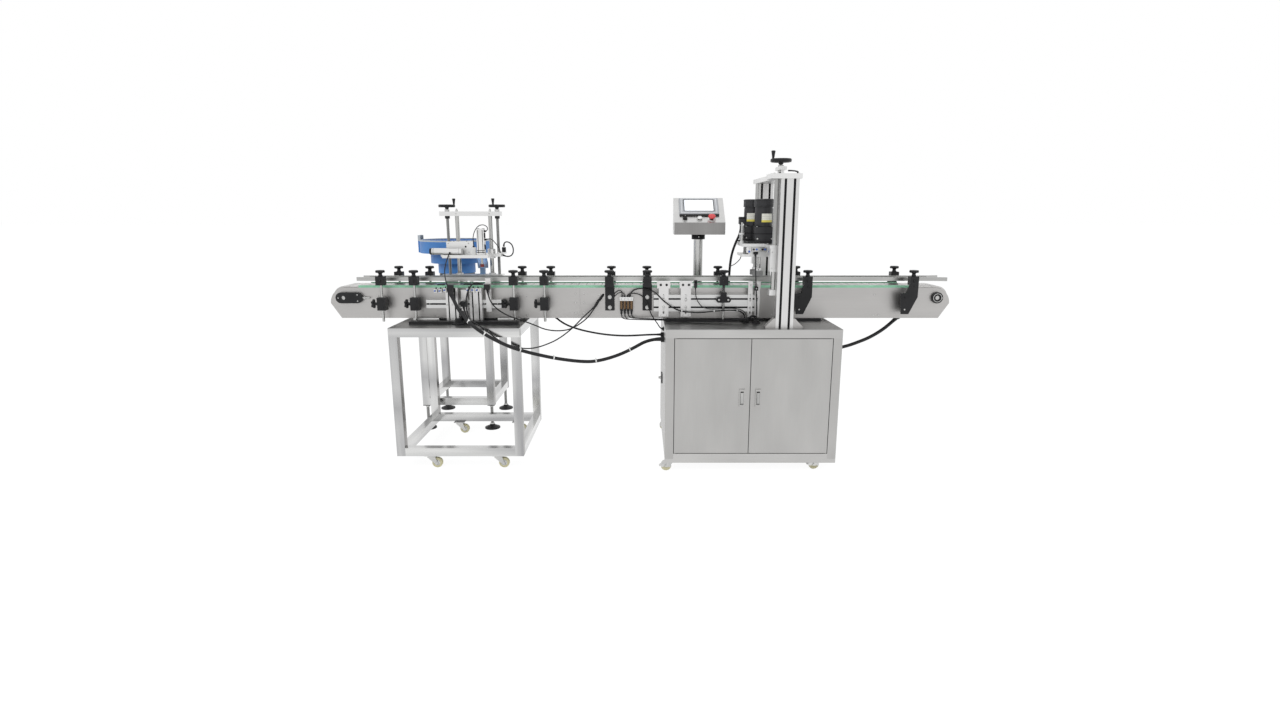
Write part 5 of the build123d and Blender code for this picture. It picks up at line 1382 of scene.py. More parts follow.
@dataclass
class SlatConveyor:
    """The conveyor: side plates, chain, wear strips, end bearings and the drive."""

    half_width: float = 85.0
    shaft_z: float = 792.0
    drive_x: float = 1436.0
    seam_x: float = -291.0
    bearing: float = 14.0
    take_up: float = 18.0
    stand_off: float = 14.0
    motor_plate: float = 6.0
    motor_half: float = 45.0
    motor_drop: float = 18.0

    def plate_screws(self) -> Shell:
        """Screws through both side plates, at the places the photograph shows.

        Returns:
            The shell, not built yet.
        """
        shell = Shell("plate_screws")
        rows = [(-1270, 800), (-1258, 706), (-548, 800), (-548, 706), (-196, 806), (700, 806), (1135, 706)]
        rows += [(1135, 806), (1160, 706), (-1000, 706), (640, 706)]
        for x in (self.seam_x - 21, self.seam_x + 19):
            rows += [(x, z) for z in (812, 768, 718)]
        for x, z in rows:
            for side in (-1, 1):
                shell.screws([(x, LANE_Y + side * self.half_width, z)], Y, side)
        return shell

    def end_details(self) -> Shell:
        """Rings on the drive bearings, and screws, a nut and a slot on the take-up blocks.

        Returns:
            The shell, not built yet.
        """
        shell = Shell("end_details")
        for side in (-1, 1):
            face = LANE_Y + side * (self.half_width + self.bearing)
            at = (self.drive_x, face, self.shaft_z)
            lip = [(26.4, -0.2), (26.4, 1), (25.4, 1.8), (22.4, 1.8), (21.6, 0.8), (18.2, 0.8)]
            lip += [(17.4, 1.6), (13.6, 1.6), (12.8, 0.5), (10.8, 0.5), (10.8, -0.2)]
            shell.turned(lip, at, Y, "moulded_black", 40, side, ring=True)
            washer = (self.drive_x, face + side * 0.6, self.shaft_z)
            shell.collar(washer, Y, 18.6, 21.2, 1, "zinc", side)
            nipple = [(3.2, 0), (3.2, 2), (1.8, 3), (2.4, 4.6), (1.2, 5.4)]
            shell.turned(nipple, (self.drive_x + 19.9, face + side, self.shaft_z), Y, "zinc", 12, side)
            face = LANE_Y + side * (self.half_width + self.take_up)
            for x, z in ((-1362, 807), (-1362, 777), (-1455, 792)):
                shell.screws([(x, face, z)], Y, side, 3.6, "zinc")
            nut = (-1334, face - side * self.take_up / 2, self.shaft_z)
            shell.turned(barrel(6.8, 6, 0.6, 0.4), nut, X, "zinc", 6)
        return shell

    def drive(self) -> Shell:
        """The drive motor on its plate and spacers.

        Returns:
            The shell, not built yet.
        """
        shell = Shell("drive_gearmotor")
        x, z, low = self.drive_x, self.shaft_z - self.motor_drop, LANE_Y + self.half_width
        near, half = low + self.stand_off, self.motor_half
        far = near + self.motor_plate
        shell.slab((x - half, near, z - half), (x + half, far, z + half), "zinc")
        for dx in (-36, 36):
            for dz in (-36, 30):
                shell.rod((x + dx, low, z + dz), Y, self.stand_off, 5, "zinc")
        GearMotor(60.0, 90.0, 30.0, 46.0).add(shell, (x, far, z), Y)
        shell.slab((x - 22, low + 96, z - 45.5), (x + 22, low + 146, z - 41.5), "motor_black", 1.5)
        return shell

    def build(self, shop: Workshop) -> None:
        """Coats the conveyor's nodes and adds its small pieces.

        Args:
            shop: Where the finishes are and the pieces go.
        """
        shop.coats(
            side_plates="steel_plate", slat_chain="chain_steel", wear_strips="wear_green",
            line_fittings="moulded_black", idler_roller="bright_bar", drive_roller="bright_bar",
        )
        shop.coat("end_bearings", "moulded_black", ("bright_bar", zone(x0=-1340, x1=-1300)))
        shop.piece(self.plate_screws(), "machine", "bright_steel")
        shop.piece(self.end_details(), "machine", "bright_steel")
        shop.piece(self.drive(), "machine", "black_metal", "conveyor_motor")


@dataclass
class GuideRails:
    """The two guide rails, their supports and the clamp knobs."""

    reach: float = 130.0
    top: float = 899.0
    cross_z: float = 767.0
    plate_face: float = 93.0
    bracket_face: float = 149.0
    clamped: tuple[float, ...] = (-1233.0, -1075.0, -602.0, -456.0)
    flat: tuple[float, ...] = (-146.0, 35.0)
    lever: float = 398.0
    cast: tuple[float, ...] = (797.0, 1300.0)
    radius: float = 23.0

    def knobs(self) -> Shell:
        """The lobed knobs on the rail heads and the star knobs on the cross clamps.

        Returns:
            The shell, not built yet.
        """
        shell = Shell("knob_set")
        r = self.radius
        waist = [(11, 0), (11.5, 1.5), (9.6, 5), (8.4, 9), (8.8, 13), (11.5, 15.5), (r * 0.8, 17.4)]
        cap = [(r * 0.86, 17), (r * 0.97, 18.6), (r, 21), (r, 24), (r * 0.95, 27.2), (r * 0.80, 28.7)]
        cap += [(r * 0.45, 28.8), (r * 0.30, 27.8)]
        star = [(r * 0.4, 0), (r * 0.9, 1), (r, 4.5), (r, 9.5), (r * 0.94, 12.5), (r * 0.5, 14)]
        for y in (LANE_Y - self.reach, LANE_Y + self.reach):
            for x in (*self.clamped, *self.flat, self.lever, *self.cast):
                shell.turned(waist, (x, y, self.top), Z, "moulded_black", 28)
                shell.turned(cap, (x, y, self.top), Z, "moulded_black", 64, ripple=lobed(8, 0.14))
            for x in self.clamped:
                head = (x - 36, y, self.cross_z)
                shell.turned(star, head, X, "moulded_black", 70, -1, ripple=lobed(5, 0.42))
                neck = [(8, 0), (7.4, 11), (9, 16.2)]
                shell.turned(neck, (x - 20, y, self.cross_z), X, "moulded_black", 24, -1)
        return shell

    def support_screws(self) -> Shell:
        """Screws and washers on the supports, front and rear.

        Returns:
            The shell, not built yet.
        """
        shell = Shell("support_screws")
        for side in (-1, 1):
            plate = LANE_Y + side * self.plate_face
            for x in self.flat:
                for z in (745, 795):
                    shell.collar((x, plate, z), Y, 3, 9.4, 1.6, "zinc", side)
                    shell.screws([(x, plate + side * 1.2, z)], Y, side, 6.4)
            front = LANE_Y + side * self.bracket_face
            for dx in (-22, 22):
                shell.screws([(self.lever + dx, front, 788)], Y, side, 5)
            for x in self.cast:
                shell.screws([(x - 38, front - side, 742)], Y, side, 4.4, "zinc")
                for dx, z in ((-40, 800), (0, 852)):
                    shell.screws([(x + dx, front - side, z)], Y, side, 4.4, "moulded_black")
            for x in self.clamped:
                shell.screws([(x + 10, front, z) for z in (752, 784)], Y, side, 3.4, "moulded_black")
        return shell

    def build(self, shop: Workshop) -> None:
        """Coats the rails and brackets and adds knobs and screws.

        Args:
            shop: Where the finishes are and the pieces go.
        """
        shop.coat("front_rail", "bright_bar", ("moulded_black", zone(y1=-351)))
        shop.coat("rear_rail", "bright_bar", ("moulded_black", zone(y0=-55)))
        posts = []
        for x in (*self.clamped, self.lever):
            for y in (-341, -333, -65, -73):
                for z0, z1 in ((600, 736.9), (737.1, 797.9), (798.1, 856.9)):
                    posts.append(("bright_rod", zone(x - 6.2, x + 6.2, y - 6.2, y + 6.2, z0, z1)))
        shop.coat("rail_brackets", "moulded_black", *posts)
        shop.piece(self.knobs(), "machine", "black_plastic", "clamp_knobs")
        shop.piece(self.support_screws(), "machine", "bright_steel")


@dataclass
class SensorBars:
    """The slotted extrusions on the front, the sensor plates and the air block."""

    front: float = -334.0
    plates: tuple[float, ...] = (113.0, 219.0)
    plate_half: float = 14.0
    slim_plates: tuple[float, ...] = (527.0, 560.0)
    posts: tuple[float, ...] = (-893.0, -780.0)
    posts_front: float = -358.0
    block_x: Span = (-98.0, -33.0)
    block_z: Span = (780.0, 798.0)
    block_half: float = 16.0

    def plate_screws(self) -> Shell:
        """Screws in the plates' slots and heads, T-nuts in the bars and the bottle eye's arm.

        Returns:
            The shell, not built yet.
        """
        shell = Shell("sensor_screws")
        for x in self.plates:
            beside = (x - self.plate_half, x + self.plate_half)
            shell.screws([(at, self.front, 858) for at in beside], Y, -1, 6, "moulded_black")
            shell.screws([(at, self.front, 714) for at in beside], Y, -1, 3.2)
            for z in (752, 786):
                shell.collar((x, self.front, z), Y, 2.6, 7.6, 1.2, "zinc", -1)
                shell.screws([(x, self.front - 0.8, z)], Y, -1, 5)
        for x in self.slim_plates:
            for z in (752, 786, 858):
                shell.screws([(x, self.front, z)], Y, -1, 4.4)
        shell.slab((240, self.front - 4, 852), (262, self.front - 0.1, 866), "milled_plate")
        shell.slab((257, -352, 846), (271, self.front - 3, 881), "moulded_black", 1.6)
        lens = [(4.6, 0), (4.6, 1.2), (3.4, 1.8), (3.2, 0.6)]
        shell.turned(lens, (264, -352, 872), Y, "black_and_slot_shade", 16, -1)
        for x in (-1008, -927, -859, -812, -746, -684):
            shell.screws([(x, self.front + 6, 766)], Y, -1, 3, "zinc")
        return shell

    def post_fittings(self) -> Shell:
        """Small pressure fittings, clips and sensors on the front of the feeder's posts.

        Returns:
            The shell, not built yet.
        """
        shell = Shell("post_fittings")
        front = self.posts_front
        for x in self.posts:
            for dx in (-24, 0, 24):
                shell.screws([(x + dx, front, z) for z in (700, 766, 826)], Y, -1, 3.4)
        for x, z in ((-812, 838), (-790, 838), (-768, 838), (-921, 838), (-944, 834), (-966, 834)):
            shell.slab((x - 8, front - 10, z - 8), (x + 8, front + 24, z + 7), "milled_plate", 1.2)
            shell.turned([(4.6, 0), (4.6, 5), (3.8, 6), (3.8, 9)], (x, front - 10, z), Y, "zinc", 14, -1)
            shell.turned([(3.9, 0), (3.9, 4), (3, 5)], (x, front - 19, z), Y, "fitting_blue", 14, -1)
            shell.rod((x, front + 6, z + 6.5), Z, 8, 3, "moulded_black", 12)
        foot = [(33, 0), (34, 0.8), (34, 6), (32, 8), (18.5, 9.5), (17, 11), (17, 25), (15.8, 26.4)]
        shell.turned(foot, (-856, -394, 680), Z, "moulded_black", 36)
        for x, length in ((-1095, 124), (-688, 104)):
            shell.rod((x, -309, 689.2), X, length, 9, "anodised_level", 24)
        for x0, x1, z in ((-960, -926, 858), (-835, -745, 860)):
            shell.slab((x0, front + 2, z), (x1, front + 22, z + 5), "moulded_black", 1)
        return shell

    def air_block(self) -> Shell:
        """The air block: a white head on four brass-coloured barrels with ribbed dials and fittings.

        Returns:
            The shell, not built yet.
        """
        shell = Shell("air_block")
        near, far = BARRELS_Y - self.block_half, BARRELS_Y + self.block_half
        low, high = self.block_z
        shell.slab((self.block_x[0], near, low), (self.block_x[1], far, high), "white_plastic", 1.4)
        neck = [(5.4, 0), (6.6, 1), (6.6, 8), (7, 9), (7, 12)]
        tail = [(4.2, 0), (4.6, 0.6), (4.6, 11), (5.4, 13.6)]
        for x in BARRELS_X:
            shell.rod((x, BARRELS_Y, 736), Z, 44.4, 7, "brown_brass", 24)
            dial = barrel(6.8, 10, 0.8, 0.6)
            shell.turned(dial, (x, BARRELS_Y, 768), Z, "brown_brass", 72, ripple=lobed(24, 0.06))
            shell.turned(neck, (x, BARRELS_Y, 728), Z, "moulded_black", 24)
            shell.turned(tail, (x, BARRELS_Y, 714.6), Z, "moulded_black", 20)
            shell.screws([(x, near, (low + high) / 2)], Y, -1, 2.8, "zinc")
        outlet = [(5, 0), (5, 3), (4, 3.8), (3.8, 5.6)]
        for x in (-86, -74, -60, -49):
            shell.turned(outlet, (x, BARRELS_Y, high - 0.5), Z, "moulded_black", 18)
        return shell

    def build(self, shop: Workshop) -> None:
        """Coats the bars, darkens their slots with painted shade and adds the fittings.

        Args:
            shop: Where the finishes are and the pieces go.
        """
        # The slot entries are painted shade: the faces inside the slots of the bars and the posts are
        # coloured near-black.
        dark = [
            ("black_and_slot_shade", zone(67, 565, -326, -290, 732, 808)),
            ("black_and_slot_shade", zone(-1024, -666, -326, -290, 748, 784)),
            ("moulded_black", zone(x0=-665.1, x1=-654.9, z0=740, z1=790)),
            ("moulded_black", zone(z1=692.05, y1=-363)),
        ]
        for x in self.posts:
            for dx in (-15, 15):
                dark.append(("black_and_slot_shade", zone(x + dx - 3.2, x + dx + 3.2, -356.5, -349.5, 681, 844)))
        shop.coat("slot_bars", "anodised_level", ("anodised_upright", zone(y1=-328.01)), *dark)
        shop.piece(self.plate_screws(), "machine", "bright_steel")
        shop.piece(self.post_fittings(), "machine", "machined_aluminium")
        shop.piece(self.air_block(), "machine", "brass_fittings", "air_manifold")


@dataclass
class Cabinet:
    """The electrical cabinet under the head: frame, sheets, doors, latches and casters."""

    left: float = 115.0
    right: float = 915.0
    front: float = -557.0
    back: float = 143.0
    doors_front: float = -562.0
    lock_z: float = 328.0
    inlet: Span = (-160.0, 363.0)
    latches: tuple[tuple[str, float], ...] = (("left_latch", 468.0), ("right_latch", 542.0))

    def sheet_screws(self) -> Shell:
        """Screws along the back and side sheets, and the air inlet on the left side.

        Returns:
            The shell, not built yet.
        """
        shell = Shell("sheet_screws")
        for x in (185, 405, 625, 845):
            shell.screws([(x, self.back, z) for z in (105, 365, 625)], Y, 1, 4)
        x, (y, z), half = self.left - 6, self.inlet, 25
        shell.slab((x, y - half, z - half), (self.left + 1, y + half, z + half), "moulded_black", 2)
        for dy, dz in ((-19, -19), (-19, 19), (19, -19), (19, 19)):
            shell.screws([(x, y + dy, z + dz)], X, -1, 2.2, "zinc")
        stub = [(9, 0), (9, 5), (6.4, 6), (6.4, 13), (5.2, 14)]
        shell.turned(stub, (x, y, z), X, "zinc", 20, -1)
        return shell

    def build(self, shop: Workshop) -> None:
        """Coats the cabinet's nodes and adds screws and lock wells.

        Args:
            shop: Where the finishes are and the pieces go.
        """
        level = (("steel_level", zone(z0=639.5)), ("steel_level", zone(z1=92.5)))
        shop.coat("cabinet_frame", "steel_upright", *level)
        black = [("moulded_black", zone(x1=self.left - 0.5)), ("moulded_black", zone(x0=self.right + 0.5))]
        shop.coat("cabinet_panels", "steel_upright", ("steel_top", zone(z0=677.9)), *black)
        rubber = (("cream_tread", zone(z1=17)), ("white_plastic", zone(x0=0, x1=90, z0=18, z1=40)))
        shop.coat("cabinet_casters", "zinc", *rubber)
        shop.piece(self.sheet_screws(), "machine", "bright_steel")
        caps = rail_caps("cabinet_caps", (self.left, self.right), (self.front, self.back - 40), 640, 678)
        shop.piece(caps, "machine", "satin_steel")
        for latch, x in self.latches:
            body = latch.replace("latch", "door")
            shop.coat(body, "steel_upright")
            shop.coat(latch, "bright_rod")
            lock = Shell(latch + "_lock")
            y, z = self.doors_front, self.lock_z
            barrel_face = [(4.4, 0), (4.4, 1.2), (3.6, 1.8), (2.4, 1.8), (2.2, 0.8)]
            lock.turned(barrel_face, (x, y, z), Y, "zinc", 18, -1)
            # A near-black sliver in the lock's well: painted shade for the key slot.
            lock.slab((x - 0.5, y - 1.4, z - 1.8), (x + 0.5, y - 0.4, z + 1.8), "black_and_slot_shade", 0.2)
            shop.piece(lock, body, "zinc_steel")


@dataclass
class RollingCart:
    """The polished cart under the feeder, on four swivel casters."""

    corners: tuple[tuple[str, float, float], ...] = (
        ("front_left", -995, -486),
        ("front_right", -675, -486),
        ("rear_left", -995, 46),
        ("rear_right", -675, 46),
    )
    trail: float = 25.0
    radius: float = 25.0
    bolts: float = 23.0
    plates_z: float = 63.0
    frame: TubeFrame = TubeFrame("cart_frame", -1150.0, -550.0, -520.0, 40.0, 106.5, 678.0, True)

    def wheel(self, name: str, x: float, y: float) -> Shell:
        """A caster wheel: a cream tyre on a pale hub with a dished face on each side.

        Args:
            name: The corner of the cart.
            x: The caster's place along X.
            y: The caster's place along Y.

        Returns:
            The shell, not built yet.
        """
        shell = Shell("tread_" + name)
        r = self.radius
        tread = [(14.5, -9.6), (18, -10), (r - 3, -10), (r - 1, -9), (r, -6.4)]
        tread += [(reach, -height) for reach, height in reversed(tread)]
        place = (x + self.trail, y, r)
        shell.turned(tread, place, Y, "cream_tread", 40, ring=True)
        hub = [(15.2, -8), (14.2, -8.6), (8, -7), (7.4, -9.6), (4.3, -9.6)]
        hub += [(reach, -height) for reach, height in reversed(hub)]
        shell.turned(hub, place, Y, "white_plastic", 32, ring=True)
        return shell

    def build(self, shop: Workshop) -> None:
        """Coats the cart's tubes along their own directions and dresses the casters.

        Args:
            shop: Where the finishes are and the pieces go.
        """
        self.frame.dress(shop, ("zinc", zone(z1=65.95)))
        self.frame.caps(shop, "cart_caps")
        bolts = Shell("caster_bolts")
        for name, x, y in self.corners:
            shop.coat("caster_fork_" + name, "zinc")
            shop.piece(self.wheel(name, x, y), "wheel_" + name, "cream_plastic", "caster_wheel_" + name)
            nuts = Shell("axle_nuts_" + name)
            nut = [(5.8, 0), (6.4, 0.6), (6.4, 2.2), (5.6, 2.8)]
            for side in (-1, 1):
                nuts.turned(nut, (x + self.trail, y + side * 14, self.radius), Y, "zinc", 6, side)
            shop.piece(nuts, "fork_" + name, "zinc_steel")
            around = (-self.bolts, self.bolts)
            places = [(x + dx, y + dy, self.plates_z) for dx in around for dy in around]
            bolts.screws(places, Z, -1, 3.6, "zinc")
        shop.piece(bolts, "machine", "zinc_steel")


@dataclass
class BowlStand:
    """The polished stand of the bowl on levelling feet."""

    posts_x: Span = (-1195.0, -835.0)
    posts_y: Span = (128.0, 528.0)
    posts_z: float = 140.0
    half: float = 20.0
    frame: TubeFrame = TubeFrame("feeder_stand", -1215.0, -815.0, 108.0, 508.0, 180.5, 698.0, False)

    def feet(self) -> Shell:
        """The feet: a ribbed pad, a threaded stem with two nuts and a cap in the post's end.

        Returns:
            The shell, not built yet.
        """
        shell = Shell("foot_set")
        pad = [(41, 0), (42.5, 1.4), (42.5, 6.6), (41.2, 8), (38.5, 8.3), (36, 10), (22, 16.6)]
        pad += [(16.5, 19), (14.6, 21), (14, 24)]
        for x in self.posts_x:
            for y in self.posts_y:
                shell.turned(pad, (x, y, 0), Z, "moulded_black", 40)
                shell.rod((x, y, 23.5), Z, 112.8, 8, "thread", 20)
                for z, height in ((25, 8), (126, 10)):
                    shell.turned(barrel(12.4, height, 0.8, 1.4), (x, y, z), Z, "zinc", 6)
                low, high = (x - self.half, y - self.half), (x + self.half, y + self.half)
                shell.slab((*low, self.posts_z - 4), (*high, self.posts_z), "moulded_black", 1.2)
        return shell

    def build(self, shop: Workshop) -> None:
        """Coats the stand's tubes along their own directions and adds the feet.

        Args:
            shop: Where the finishes are and the pieces go.
        """
        self.frame.dress(shop)
        shop.piece(self.feet(), "machine", "black_plastic", "levelling_feet")
        self.frame.caps(shop, "stand_caps")


@dataclass
class CapBowl:
    """The vibratory bowl with its drive and the chute to the placer."""

    x: float = -1040.0
    y: float = 330.0
    floor: float = 866.0
    rings: tuple[Point, ...] = ((98.0, 868.0, 916.0), (136.0, 922.0, 970.0), (191.0, 980.0, 1030.0))
    track: float = 24.0
    rim: Point = (193.0, 1044.6, 2.4)

    def inside(self) -> Shell:
        """The spiral track inside each ring, the beaded rim and the centre bolt.

        Returns:
            The shell, not built yet.
        """
        shell = Shell("bowl_track")
        for step, (radius, low, high) in enumerate(self.rings):
            start = 40 + 110 * step
            radii, turns = (radius - self.track, radius), (start, start + 320)
            shell.helix((self.x, self.y, 0), radii, (low, high), turns, 2.4, "bowl_coat")
        turn = np.linspace(0, 2 * math.pi, 10, endpoint=False)
        reach, height, thick = self.rim
        bead = np.column_stack((reach + thick * np.cos(turn), height + thick * np.sin(turn)))
        shell.turned(bead.tolist(), (self.x, self.y, 0), Z, "bowl_coat", 72, ring=True)
        shell.turned([(16, 0), (16, 2), (9.5, 2.4)], (self.x, self.y, self.floor), Z, "zinc", 28)
        shell.turned(barrel(9.2, 8, 1, 0.8), (self.x, self.y, self.floor + 2.2), Z, "zinc", 6)
        return shell

    def build(self, shop: Workshop) -> None:
        """Coats the bowl, its drive and the chute, and adds the track.

        Args:
            shop: Where the finishes are and the pieces go.
        """
        shop.coats(bowl="bowl_coat", cap_chute="chute_coat")
        shop.coat("bowl_drive", "motor_black", ("zinc", zone(z0=762.5, z1=837.5)))
        shop.piece(self.inside(), "machine", "blue_coating")


@dataclass(frozen=True)
class HandWheel:
    """A handwheel: a dished hub, three spokes, a rounded rim and an upright grip on the rim."""

    radius: float
    turn: float

    def add(self, shell: Shell, centre: Point) -> None:
        """Adds the wheel's surfaces round a centre.

        Args:
            shell: The shell.
            centre: The middle of the rim.
        """
        r = self.radius
        angle = np.linspace(0, 2 * math.pi, 14, endpoint=False)
        power = 0.72
        wave_x, wave_z = np.cos(angle), np.sin(angle)
        section = np.column_stack(
            (
                r * (0.86 + 0.14 * np.sign(wave_x) * np.abs(wave_x) ** power),
                r * 0.17 * np.sign(wave_z) * np.abs(wave_z) ** power,
            )
        )
        shell.turned(section.tolist(), centre, Z, "moulded_black", 56, ring=True)
        hub = [(0.20, -0.34), (0.22, -0.33), (0.26, -0.12), (0.28, -0.02), (0.28, 0.10)]
        hub += [(0.25, 0.155), (0.12, 0.17)]
        shell.turned([(a * r, b * r) for a, b in hub], centre, Z, "moulded_black", 32)
        end = (centre[0], centre[1], centre[2] + 0.17 * r - 0.2)
        shell.turned([(0.07 * r, 0), (0.07 * r, 1)], end, Z, "zinc", 12)
        for step in range(3):
            turn = math.radians(self.turn + 60 + 120 * step)
            way = np.array([math.cos(turn), math.sin(turn), 0])
            path = np.array(centre) + np.linspace(0.2, 0.8, 5)[:, None] * r * way
            shell.tube(path, np.array([4.8, 4.4, 4, 4.2, 4.8]), "moulded_black")
        turn = math.radians(self.turn)
        reach = 0.86 * r
        foot = (centre[0] + reach * math.cos(turn), centre[1] + reach * math.sin(turn), centre[2])
        grip = [(0.07, 0.15), (0.105, 0.18), (0.12, 0.30), (0.16, 0.60), (0.20, 0.80)]
        grip += [(0.188, 0.855), (0.12, 0.888)]
        shell.turned([(a * r, b * r) for a, b in grip], foot, Z, "moulded_black", 24)


@dataclass
class CapFeeder:
    """The feeder over the lane: columns, lifting screws, carriage and placing cylinder."""

    y: float = -90.0
    base_top: float = 888.0
    bar_low: float = 1178.0
    bar_top: float = 1200.0
    screws_x: tuple[tuple[str, float, float], ...] = (("left", -965.0, 20.0), ("right", -715.0, 250.0))
    posts_x: Span = (-917.0, -751.0)
    carriage_top: float = 993.0
    placer_x: float = -776.0
    cylinder: Span = (-215.0, 1009.0)

    def lifting_screw(self, side: str, x: float, turn: float) -> Shell:
        """A screw with its two collars and its handwheel.

        Args:
            side: Left or right.
            x: Its place along X.
            turn: The turn of the handwheel, in degrees.

        Returns:
            The shell, not built yet.
        """
        shell = Shell(side + "_wheel_screw")
        shell.rod((x, self.y, self.base_top), Z, self.bar_top + 24 - self.base_top, 7, "thread", 24)
        under = [(11, 0), (12, 1), (12, 12.2), (11, 13)]
        shell.turned(under, (x, self.y, self.bar_low - 13), Z, "moulded_black", 28)
        shell.turned(barrel(12, 10, 1, 1), (x, self.y, self.bar_top), Z, "zinc", 28)
        HandWheel(41.0, turn).add(shell, (x, self.y, self.bar_top + 27))
        return shell

    def frame_details(self) -> Shell:
        """Studs on the crossbar over the posts, and screws on the bar and the foot plate.

        Returns:
            The shell, not built yet.
        """
        shell = Shell("feeder_screws")
        stud = [(5.6, 0), (6, 0.5), (6, 8), (3.6, 9), (3.4, 13), (2.6, 13.8)]
        for x in self.posts_x:
            shell.turned(stud, (x, self.y, self.bar_top), Z, "screw_steel", 18)
            shell.screws([(x, -108, 1189)], Y, -1, 3.6)
            shell.collar((x, self.y, self.base_top), Z, 10.1, 17, 7, "milled_plate")
        plate = [(x, self.y - 18, self.base_top) for x in (-985, -935, -890, -780, -735, -706)]
        shell.screws(plate, Z, 1, 4)
        return shell

    def carriage_details(self) -> Shell:
        """Screws, dark strips of painted shade for the placer's grooves, sensors, elbows, a valve block and
        the clamp at the right end.

        Returns:
            The shell, not built yet.
        """
        shell = Shell("carriage_fittings")
        top = self.carriage_top
        shell.screws([(x, -175, z) for z in (1046, 1003) for x in (-945, -845)], Y, -1, 3.6)
        shell.screws([(-860, -175, 1030)], Y, -1, 4.6, "black_and_slot_shade")
        shell.screws([(x, -150, 1055) for x in (-940, -925, -860)], Z, 1, 4, "moulded_black")
        middle = self.placer_x
        # Painted shade: two near-black strips stand for the placer's grooves.
        for x in (middle - 11, middle + 11):
            shell.slab((x - 1.4, -221.6, 1000), (x + 1.4, -220.6, 1112), "black_and_slot_shade", 0.3)
        for z in (1003, 1012):
            shell.slab((middle - 20, -223, z), (middle + 20, -219, z + 3), "moulded_black", 0.8)
        corners = [(x, y, 1118) for x in (middle - 12, middle + 12) for y in (-215, -191)]
        shell.screws(corners, Z, 1, 3, "black_and_slot_shade")
        inward = [(5, 0), (5, 4), (4, 5), (4, 9)]
        upright = [(4.4, 0), (4.8, 1), (4.8, 6), (4, 7)]
        for z in (1106, 1066):
            shell.turned(inward, (-758.2, -204.5, z), X, "moulded_black", 16)
            shell.turned(upright, (-753, -204.5, z - 3), Z, "moulded_black", 16)
        for z in (1030, 1086):
            shell.slab((-757.8, -216, z - 12), (-752.5, -208, z + 12), "moulded_black", 1)
        shell.slab((-828, -201, top), (-806, -179, 1028), "white_plastic", 1.2)
        shell.turned([(5.2, 0), (5.2, 5), (4.2, 6.4)], (-817, -190, 1028), Z, "moulded_black", 18)
        shell.slab((-713, -124, top), (-672, -104, 1001), "milled_plate")
        shell.turned([(5.4, 0), (5.4, 4), (4.2, 5)], (-701, -122, 998), Z, "moulded_black", 16)
        shell.slab((-692, -124, 1000), (-674, -107, 1024), "moulded_black", 1.4)
        shell.turned([(5.6, 0), (5.6, 5), (4.4, 6.4)], (-683, -116, 1023), Z, "zinc", 18)
        shell.turned([(7, 0), (7, 4), (5, 6)], (-695, -110, 986), X, "white_plastic", 18)
        shell.screws([(-706, -108, 1001), (-678, -105, 1001)], Z, 1, 2.8)
        shell.screws([(-985, -100, top)], Z, 1, 3.4)
        for x in self.posts_x:
            shell.collar((x, self.y, top + 20.8), Z, 10.2, 17.5, 1.6, "zinc")
        bands = ((-871, 5, 14.6, 2), (-884, 15.9, 16.5, 4), (-1010, 15.9, 16.5, 6))
        for x, inner, outer, width in bands:
            shell.collar((x, *self.cylinder), X, inner, outer, width, "zinc")
        return shell

    def build(self, shop: Workshop) -> None:
        """Coats the feeder's nodes, replaces the screws and adds the fittings.

        Args:
            shop: Where the finishes are and the pieces go.
        """
        shop.coat("feeder_columns", "milled_plate", ("bright_rod", zone(z0=888.5, z1=1177.5)))
        shop.coat("feeder_carriage", "milled_plate", ("moulded_black", zone(x1=-1014.9)))
        shop.coat("placing_rod", "bright_rod", ("tip_red", zone(z1=947.1)))
        for side, x, turn in self.screws_x:
            screw = self.lifting_screw(side, x, turn)
            shop.piece(screw, side + "_screw", "zinc_steel", side + "_lift_screw")
        shop.piece(self.frame_details(), "machine", "bright_steel")
        shop.piece(self.carriage_details(), "feeder_carriage", "machined_aluminium")


